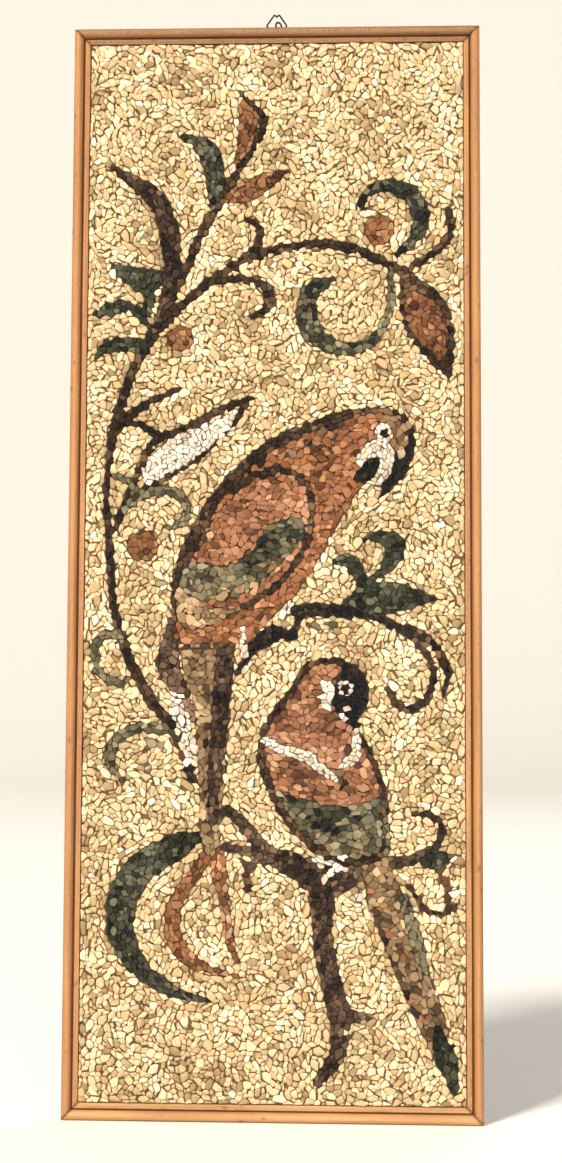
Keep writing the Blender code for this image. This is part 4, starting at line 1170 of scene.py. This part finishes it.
@dataclass
class Bed:
    """The adhesive that the chips are set in: a slab with a softly uneven front, seen only in the joints."""

    chart: AreaMap
    slots: dict[str, str]
    step: float = 4.6 * MM
    surface: float = 11.1 * MM
    swell: float = 0.35 * MM
    swell_size: float = 12 * MM

    def build(self) -> None:
        """Builds and dresses the slab."""
        low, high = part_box(GROUND)
        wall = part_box("rail_top")[1].y
        across = np.linspace(low.x, high.x, round((high.x - low.x) / self.step) + 1)
        up = np.linspace(low.z, high.z, round((high.z - low.z) / self.step) + 1)
        x, z = np.meshgrid(across, up, indexing="ij")
        depth = self.surface + self.swell * waves(x, z, self.swell_size, SEED + 1) / 2
        front = np.stack([x, wall - depth, z], axis=-1)
        back = np.stack([x, np.full_like(x, high.y), z], axis=-1)
        points = np.concatenate([front, back]).reshape(-1, 3)
        piece = mesh_object("adhesive_bed", points, self._faces(x.shape), 60)
        number = self.chart.labels[self.chart.index(np.stack([x, z], axis=-1))]
        tone = np.array([linear(STONES[Stone(self.slots[name])].smear) for name in self.chart.names])[number]
        paint(piece, "tone", np.concatenate([tone, tone]).reshape(-1, 3))
        settle(piece, self._material(), Stone.CREAM.value, GROUND)

    def _faces(self, shape: tuple[int, int]) -> list[np.ndarray]:
        """Faces of the slab: the front grid, the back grid the other way round, and the edges between."""
        number = np.arange(shape[0] * shape[1]).reshape(shape)
        front = quads(number[:-1, :-1], number[1:, :-1], number[1:, 1:], number[:-1, 1:])
        back = front[:, ::-1] + number.size
        rim = np.concatenate([number[:, 0], number[-1, 1:], number[-2::-1, -1], number[0, -2:0:-1]])
        ahead = np.roll(rim, -1)
        side = quads(rim, rim + number.size, ahead + number.size, ahead)
        return [front, back, side]

    def _material(self) -> bpy.types.Material:
        """Dried brown adhesive, dark and a little glossy."""
        shader = Shader("adhesive")
        place = shader.place()
        _, tone = shader.painted("tone")
        grain = shader.noise(place, 420, 4)
        colour = shader.mix(grain.span(0.3, 0.7) * 0.7, tone, (0.35, 0.3, 0.25), "MULTIPLY")
        shader.bump(grain, 0.6 * MM, 0.6)
        return shader.finish(Base_Color=colour, Roughness=(0.55 + grain * 0.3).clamp())


@dataclass
class Moulding:
    """The four mitred rails: one profile carried along each, with worn arrises, shallow dents and nail marks.

    The profile is given as (distance in from the outer edge, depth from the wall).
    """

    width: float = 16 * MM
    shoulder: float = 12.5 * MM
    bead_width: float = 9.3 * MM
    bead_rise: float = 5.5 * MM
    groove_width: float = 1.7 * MM
    groove_depth: float = 2.2 * MM
    lip: float = 14.6 * MM
    lip_edge: float = 0.6 * MM
    rebate_width: float = 7 * MM
    rebate_depth: float = 7.5 * MM
    gap: float = 0.3 * MM
    step: float = 3 * MM
    bead_steps: int = 20
    dent: float = 0.16 * MM
    mitre_wear: float = 0.5 * MM
    soft: float = 0.4 * MM
    round_off: float = 0.3 * MM
    nail_spacing: float = 0.12
    wood: Colour = (178, 122, 74)
    worn_wood: Colour = (206, 158, 108)
    # Colour of the painted shade in the groove and by the chips, and of the grime at the mitres
    shade_and_grime_colour: Colour = (70, 42, 22)
    knock: Colour = (56, 34, 18)

    def profile(self) -> tuple[np.ndarray, np.ndarray, np.ndarray]:
        """The moulding's section: points, how polished each is by wear, and how much painted shade and grime it
        takes.

        The bead is half an ellipse, (half + half cos a, shoulder + rise sin a). The rest is straight runs
        with small rounded arrises.

        Returns:
            Points (n, 2), polish (n,) and grime (n,), both from 0 to 1. The last is painted shade, highest in
            the groove and on the faces by the chips, with some grime.
        """
        turn = np.linspace(math.pi, 0.12, self.bead_steps)
        half = self.bead_width / 2
        bead = np.c_[half + half * np.cos(turn), self.shoulder + self.bead_rise * np.sin(turn)]
        floor = self.lip - self.groove_depth
        end = self.bead_width + self.groove_width
        edge = self.lip_edge
        back = self.width - self.rebate_width
        ease = self.round_off
        # Columns: distance in, depth, polish, and painted shade with grime, the shade highest in the groove and
        # on the faces by the chips
        rows = [
            (self.soft, 0, 0.0, 0.3),
            (0, self.soft, 0.2, 0.2),
            (0, self.shoulder / 2, 0.2, 0.1),
            *[(x, y, math.sin(a) ** 2, 0.0) for (x, y), a in zip(bead, turn)],
            (self.bead_width, floor + ease, 0.0, 0.9),
            (self.bead_width + ease, floor, 0.0, 1.0),
            (end - ease, floor, 0.0, 1.0),
            (end, floor + ease, 0.0, 0.9),
            (end, self.lip - 0.35 * MM, 0.3, 0.4),
            (end + 0.35 * MM, self.lip, 0.9, 0.0),
            ((end + self.width) / 2, self.lip + 0.05 * MM, 0.6, 0.0),
            (self.width - edge, self.lip, 0.9, 0.0),
            (self.width - 0.15 * MM, self.lip - 0.45 * edge, 0.5, 0.2),
            (self.width, self.lip - edge, 0.2, 0.5),
            (self.width, (self.lip + self.rebate_depth) / 2, 0.0, 0.9),
            (self.width, self.rebate_depth, 0.0, 1.0),
            (back, self.rebate_depth, 0.0, 0.6),
            (back, 0, 0.0, 0.3),
        ]
        table = np.array(rows)
        return table[:, :2], table[:, 2], table[:, 3]

    def build(self) -> None:
        """Builds and dresses the four rails.

        Each row of the table says a rail's node, length, distance out from the centre, grain along each axis,
        and the painted light and shade on its wood, as each channel's share: the top rail darker, the bottom
        lighter.
        """
        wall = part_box("rail_left")[1].y
        x_low, x_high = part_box("rail_left")[0].x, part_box("rail_right")[1].x
        z_low, z_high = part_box("rail_bottom")[0].z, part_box("rail_top")[1].z
        centre = np.array([(x_low + x_high) / 2, (z_low + z_high) / 2])
        wide, tall = x_high - x_low, z_high - z_low
        # Last column: painted light and shade, each rail's wood made lighter or darker as light falls on it,
        # the top darkest and the bottom lightest
        rails = (
            ("rail_top", wide, tall / 2, (7, 260, 260), (0.45, 0.43, 0.39)),
            ("rail_right", tall, wide / 2, (260, 260, 7), (0.92, 0.93, 0.90)),
            ("rail_bottom", wide, tall / 2, (7, 260, 260), (1.24, 1.56, 1.85)),
            ("rail_left", tall, wide / 2, (260, 260, 7), (1.0, 1.02, 1.04)),
        )
        for quarters, (node, length, reach, grain, painted_light_and_shade) in enumerate(rails):
            size = (length, reach, quarters)
            piece = self._rail(f"{node}_moulding", *size, centre, wall, SEED + 30 + quarters)
            # Each rail gets its own copy of the wood, lit or shaded by its painted light and shade
            settle(piece, self._material(f"wood_{node}", grain, painted_light_and_shade), "wood", node)

    def _rail(
        self,
        name: str,
        length: float,
        reach: float,
        quarters: int,
        centre: np.ndarray,
        wall: float,
        seed: int,
    ) -> bpy.types.Object:
        """One rail: section times length, the length shrinking by the distance in at both mitres.

        Args:
            name: Name of the piece.
            length: Outer length.
            reach: Distance of the outer edge from the panel's centre.
            quarters: Quarter turns clockwise from the top rail.
            centre: The panel's centre (x, z).
            wall: The wall's y.
            seed: Seed of the dents.

        Returns:
            The piece.
        """
        section, polish, grime = self.profile()
        steps = round(length / self.step)
        share = np.linspace(-0.5, 0.5, steps + 1)[:, None]
        inward, depth = section[None, :, 0], section[None, :, 1]
        along = share * (length - 2 * inward - 2 * self.gap / math.sqrt(2))
        inward = np.broadcast_to(inward, along.shape)
        raised = (depth - self.rebate_depth).clip(0) / (self.shoulder + self.bead_rise - self.rebate_depth)
        uneven = waves(along, inward * 6, 0.05, seed) * 0.5 + waves(along, inward * 3, 0.012, seed + 9) * 0.35
        sunk = self.dent * (uneven.clip(-1, 1) + 1) * raised
        worn = np.exp(-((0.5 - np.abs(share)) * length / (2.2 * MM)))
        out = depth - sunk - worn * self.mitre_wear * raised
        spots = self._spots(along, inward, length, seed)
        outward = reach - inward
        turned = [(along, outward), (outward, -along), (-along, -outward), (-outward, along)]
        x, z = turned[quarters]
        points = np.stack([centre[0] + x, wall - out, centre[1] + z], axis=-1)
        count = len(section)
        number = np.arange(points.shape[0] * count).reshape(-1, count)
        ahead = np.roll(number, -1, axis=1)
        sides = quads(number[:-1], ahead[:-1], ahead[1:], number[1:])
        caps = np.stack([number[0, ::-1], number[-1]])
        piece = mesh_object(name, points.reshape(-1, 3), [sides, caps], 42)
        paint(piece, "polish", np.broadcast_to(polish, along.shape).ravel())
        # Grime at the mitres, joined to the painted shade of the section
        joint = np.exp(-((0.5 - np.abs(share)) * length / (0.9 * MM)))
        paint(piece, "grime", np.maximum(np.broadcast_to(grime, along.shape), joint * 0.8).ravel())
        paint(piece, "spots", spots.ravel())
        return piece

    def _spots(self, along: np.ndarray, inward: np.ndarray, length: float, seed: int) -> np.ndarray:
        """Nail marks and knocks: a soft round spot at each of a few seeded places on the bead and lip."""
        draw = np.random.default_rng(seed)
        count = round(length / self.nail_spacing)
        place = draw.uniform(-0.48, 0.48, count) * length
        row = draw.choice([1.2 * MM, 4.5 * MM, 13.5 * MM], count)
        size = draw.uniform(1.2, 2.6, count) * MM
        gap = np.hypot(along[..., None] - place, inward[..., None] - row)
        return np.exp(-((gap / size) ** 2) * 2).max(axis=-1)

    def _material(self, name: str, grain: Triple, painted_light_and_shade: Triple) -> bpy.types.Material:
        """Varnished softwood: long grain, a slow change of tone, pale on the crests, painted shade in the
        groove and grime at the mitres.

        Args:
            name: Name of the material.
            grain: Scale of the grain along each axis.
            painted_light_and_shade: Painted light and shade on this rail, as how light each channel of its wood
                is against the others'.

        Returns:
            The material.
        """
        shader = Shader(name)
        fibre = shader.noise(shader.place(grain), 1.6, 4, 0.6)
        streak = shader.noise(shader.place(tuple(value / 3.5 for value in grain)), 1.6, 3)
        slow = shader.noise(shader.place(), 9, 2)
        fine = shader.noise(shader.place(), 900, 3)
        polish, _ = shader.painted("polish")
        grime, _ = shader.painted("grime")
        spots, _ = shader.painted("spots")
        # Painted light and shade: this rail's wood colour scaled by its own lightness
        base = tuple(channel * share for channel, share in zip(linear(self.wood), painted_light_and_shade))
        dark = shader.mix(fibre.span(0.35, 0.68) * 0.55, base, (0.50, 0.38, 0.28), "MULTIPLY")
        banded = shader.mix(streak.span(0.42, 0.62) * 0.4, dark, (0.62, 0.50, 0.40), "MULTIPLY")
        toned = shader.mix(slow.span(0.4, 0.62) * 0.4, banded, (0.72, 0.60, 0.48), "MULTIPLY")
        worn = shader.mix((polish * 0.45 * fine.span(0.3, 0.6)).clamp(), toned, linear(self.worn_wood))
        # Painted shade: the groove and the faces by the chips darkened towards brown, with grime at the mitres
        shaded_and_grimy = shader.mix((grime * 0.85 + (slow - 0.5) * 0.2).clamp(), worn, linear(self.shade_and_grime_colour))
        marked = shader.mix((spots * 0.8).clamp(), shaded_and_grimy, linear(self.knock))
        shader.bump(fibre * 0.6 + fine * 0.3, 0.3 * MM, 0.5)
        roughness = (0.42 + fibre * 0.2 + grime * 0.2).clamp()
        return shader.finish(Base_Color=marked, Roughness=roughness, Specular_IOR_Level=0.45)


@dataclass
class Hanger:
    """Black wire ring with a dip at its top, and the screw eye that it hangs in, both as bent round wire."""

    wire: float = 2.0 * MM
    eye_wire: float = 1.8 * MM
    base: float = 23.2 * MM
    crests: float = 4.2 * MM
    valley: float = 3.2 * MM
    bend: float = 1.15 * MM
    corner: float = 2.2 * MM
    slack: float = 0.14 * MM
    eye_hole: float = 6.0 * MM
    eye_turn: float = 45
    eye_offset: float = 2.0 * MM
    clearance: float = 0.3 * MM
    shank: float = 6.0 * MM
    eye_from: float = -84
    eye_to: float = 262
    eye_steps: int = 44
    neck_steps: int = 6
    sides: int = 14
    corner_steps: int = 9

    def build(self) -> None:
        """Builds and dresses the ring and the eye."""
        material = self._material()
        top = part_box("rail_top")[1].z
        bar = top + self.clearance + self.eye_wire + self.clearance + self.wire / 2
        path = self._ring_path(bar) + (0, bar)
        line = np.c_[path[:, 0], np.zeros(len(path)), path[:, 1]]
        ring = self._tube("wire_ring", line, self.wire / 2 - self.slack, closed=True)
        settle(ring, material, "black_wire", "hanging_ring")
        radius = (self.eye_hole + self.eye_wire) / 2
        middle = top + self.clearance + radius + self.eye_wire / 2
        turn = np.radians(np.linspace(self.eye_from, self.eye_to, self.eye_steps))
        loop = np.c_[radius * np.cos(turn), middle + radius * np.sin(turn)]
        neck = np.linspace(top - self.shank + 0.2 * MM, middle - radius - 0.3 * MM, self.neck_steps)
        stem = np.c_[np.full(len(neck), radius * math.cos(turn[0]) * 0.5), neck]
        flat = np.concatenate([stem, loop])
        angle = math.radians(self.eye_turn)
        line = np.c_[self.eye_offset + flat[:, 0] * math.cos(angle), flat[:, 0] * math.sin(angle), flat[:, 1]]
        eye = self._tube("wire_eye", line, self.eye_wire / 2, closed=False)
        settle(eye, material, "black_wire", "screw_eye")

    def _ring_path(self, bar: float) -> np.ndarray:
        """Closed path of the ring over the middle of its base, with an arc at each of its five bends.

        Args:
            bar: Height of the base's centre line, where the underside of the dip is at height 0.

        Returns:
            Points (x, height over the base's centre line).
        """
        half, bump = self.base / 2, self.crests / 2
        rise = self.bend * (1 / math.sin(math.atan2(bump, self.valley)) - 1)
        dip = self.wire / 2 - bar - rise
        crest = dip + self.valley
        bends = np.array([(-half, 0), (half, 0), (bump, crest), (0, dip), (-bump, crest)])
        radii = np.array([self.corner, self.corner, self.bend, self.bend, self.bend])
        before = np.roll(bends, 1, axis=0) - bends
        after = np.roll(bends, -1, axis=0) - bends
        before /= np.linalg.norm(before, axis=1, keepdims=True)
        after /= np.linalg.norm(after, axis=1, keepdims=True)
        half_angle = np.arccos((before * after).sum(axis=1).clip(-1, 1)) / 2
        inward = before + after
        inward /= np.linalg.norm(inward, axis=1, keepdims=True)
        centre = bends + inward * (radii / np.sin(half_angle))[:, None]
        start = bends + before * (radii / np.tan(half_angle))[:, None] - centre
        end = bends + after * (radii / np.tan(half_angle))[:, None] - centre
        sweep = np.arctan2(start[:, 0] * end[:, 1] - start[:, 1] * end[:, 0], (start * end).sum(axis=1))
        angle = sweep[:, None] * np.linspace(0, 1, self.corner_steps)
        x = start[:, :1] * np.cos(angle) - start[:, 1:] * np.sin(angle)
        z = start[:, :1] * np.sin(angle) + start[:, 1:] * np.cos(angle)
        return (np.stack([x, z], axis=-1) + centre[:, None]).reshape(-1, 2)

    def _tube(self, name: str, line: np.ndarray, radius: float, closed: bool) -> bpy.types.Object:
        """Round tube along a line in a plane, each section across the mean of the two runs that meet there.

        Args:
            name: Name of the piece.
            line: Points of the centre line.
            radius: The wire's radius.
            closed: Whether the line returns to its start.

        Returns:
            The piece.
        """
        if closed:
            ahead = np.roll(line, -1, axis=0) - np.roll(line, 1, axis=0)
        else:
            ahead = np.gradient(line, axis=0)
        ahead /= np.linalg.norm(ahead, axis=1, keepdims=True)
        spread = np.linalg.svd(line - line.mean(axis=0), full_matrices=False)[2]
        flat = spread[2] / np.linalg.norm(spread[2])
        side = np.cross(ahead, flat)
        turn = np.linspace(0, 2 * math.pi, self.sides, endpoint=False)
        ring = side[:, None] * np.cos(turn)[None, :, None] + flat * np.sin(turn)[None, :, None]
        points = line[:, None] + ring * radius
        number = np.arange(len(line) * self.sides).reshape(-1, self.sides)
        ahead_side = np.roll(number, -1, axis=1)
        if closed:
            here, there = number, np.roll(number, -1, axis=0)
            here_side, there_side = ahead_side, np.roll(ahead_side, -1, axis=0)
            caps = []
        else:
            here, there = number[:-1], number[1:]
            here_side, there_side = ahead_side[:-1], ahead_side[1:]
            caps = [np.stack([number[0, ::-1], number[-1]])]
        walls = quads(here, here_side, there_side, there)
        return mesh_object(name, points.reshape(-1, 3), [walls, *caps], 60)

    def _material(self) -> bpy.types.Material:
        """Black lacquer on wire, dulled in patches."""
        shader = Shader("black_wire")
        dull = shader.noise(shader.place(), 500, 3)
        colour = shader.mix(dull.span(0.45, 0.75), linear((24, 24, 26)), linear((58, 54, 50)))
        return shader.finish(Base_Color=colour, Roughness=(0.3 + dull * 0.35).clamp(), Metallic=0.3)


@dataclass
class Board:
    """The backing board, kept as packed, with a hardboard's brown face."""

    tone: Colour = (128, 92, 60)

    def build(self) -> None:
        """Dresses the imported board."""
        shader = Shader("hardboard")
        fibre = shader.noise(shader.place(), 700, 5, 0.7)
        cloud = shader.noise(shader.place(), 14, 3)
        mottled = shader.mix(fibre.span(0.35, 0.7) * 0.5, linear(self.tone), (0.6, 0.5, 0.42), "MULTIPLY")
        colour = shader.mix(cloud.span(0.4, 0.65) * 0.4, mottled, (0.72, 0.66, 0.58), "MULTIPLY")
        shader.bump(fibre, 0.25 * MM, 0.5)
        material = shader.finish(Base_Color=colour, Roughness=(0.72 + fibre * 0.2).clamp())
        node = frame["nodes"]["backing_board"]
        node.data.materials.clear()
        node.data.materials.append(material)


@dataclass
class Studio:
    """Pale round stage, soft lights and the camera at the photograph's angle.

    The key stands high on the left in front, low_fill lifts the lower third, and rim comes from behind.
    """

    floor_radius: float = 5.0
    bend: float = 2.0
    wall_height: float = 3.2
    tone: Colour = (236, 234, 230)
    focal_pixels: float = 1550
    picture_height: int = 1163
    eye: Triple = (0.0581, -1.5009, -0.6606)
    turn: Triple = (93.756, -0.246, 1.95)
    sky: Colour = (0.95, 0.96, 1.0)
    sky_strength: float = 0.15

    def build(self) -> None:
        """Makes the stage, the lights, the world and the camera."""
        self._stage()
        self._world()
        target = Vector((0, 0, -0.55))
        self._light("key", (-4.6, -5.2, 8.6), target, 1.7, 1500, (1.0, 0.93, 0.82))
        self._light("low_fill", (0.2, -2.1, -0.74), Vector((0, 0, -1.0)), 0.6, 19, (0.98, 1.0, 0.97))
        self._light("rim", (1.8, 2.4, 1.6), target, 1.6, 32, (0.95, 0.97, 1.0))
        self._camera()

    def _stage(self) -> None:
        """Floor disc that bends up into a round wall: a profile turned about the vertical axis."""
        floor = CAD_BOX[0].z - 0.2 * MM
        arc = np.linspace(0, math.pi / 2, 13)
        radius = np.concatenate([[0.01, self.floor_radius], self.floor_radius + self.bend * np.sin(arc[1:])])
        height = np.concatenate([[0, 0], self.bend * (1 - np.cos(arc[1:]))])
        radius = np.append(radius, radius[-1])
        height = np.append(height, self.bend + self.wall_height)
        turn = np.linspace(0, 2 * math.pi, 64, endpoint=False)
        x = radius[:, None] * np.cos(turn)
        y = radius[:, None] * np.sin(turn)
        z = np.broadcast_to((height + floor)[:, None], x.shape)
        number = np.arange(x.size).reshape(x.shape)
        ahead = np.roll(number, -1, axis=1)
        skin = quads(number[:-1], number[1:], ahead[1:], ahead[:-1])
        made = mesh_object("stage", np.stack([x, y, z], axis=-1).reshape(-1, 3), [skin, number[:1]], 60)
        shader = Shader("pale_stage")
        made.data.materials.append(shader.finish(Base_Color=linear(self.tone), Roughness=0.9))

    def _world(self) -> None:
        """Even pale light from all round."""
        world = bpy.data.worlds.new("studio")
        world.use_nodes = True
        background = world.node_tree.nodes["Background"]
        background.inputs["Color"].default_value = (*self.sky, 1)
        background.inputs["Strength"].default_value = self.sky_strength
        bpy.context.scene.world = world
        bpy.context.scene.view_settings.view_transform = "Standard"

    def _light(
        self, name: str, place: Triple, target: Vector, size: float, power: float, colour: Colour
    ) -> None:
        """Square area light at a place, turned to a target.

        Args:
            name: Name of the light.
            place: Where it stands.
            target: The point it faces.
            size: Its side, in metres.
            power: Its power, in watts.
            colour: Its colour, linear.
        """
        lamp = bpy.data.lights.new(name, "AREA")
        lamp.size = size
        lamp.energy = power
        lamp.color = colour
        made = bpy.data.objects.new(name, lamp)
        made.location = place
        made.rotation_euler = (target - Vector(place)).to_track_quat("-Z", "Y").to_euler()
        bpy.context.scene.collection.objects.link(made)

    def _camera(self) -> None:
        """Camera where the photograph's was, by its focal length in pixels on the picture's long side."""
        data = bpy.data.cameras.new("camera")
        data.sensor_width = 36
        data.lens = self.focal_pixels / self.picture_height * data.sensor_width
        made = bpy.data.objects.new("camera", data)
        made.location = self.eye
        made.rotation_euler = Euler([math.radians(angle) for angle in self.turn])
        bpy.context.scene.collection.objects.link(made)
        bpy.context.scene.camera = made


def main() -> None:
    """Builds the pieces in order."""
    logging.basicConfig(level=logging.INFO, format="%(message)s")
    slots = {row["node"]: row["material_slot"] for row in frame["record"]["subparts"]}
    chart = AreaMap()
    chart.read(frame["nodes"], slots)
    LOG.info("areas: %d", len(chart.names))
    ChipWork(chart, slots).build()
    Bed(chart, slots).build()
    Moulding().build()
    Board().build()
    Hanger().build()
    Studio().build()


if __name__ == "__main__":
    main()
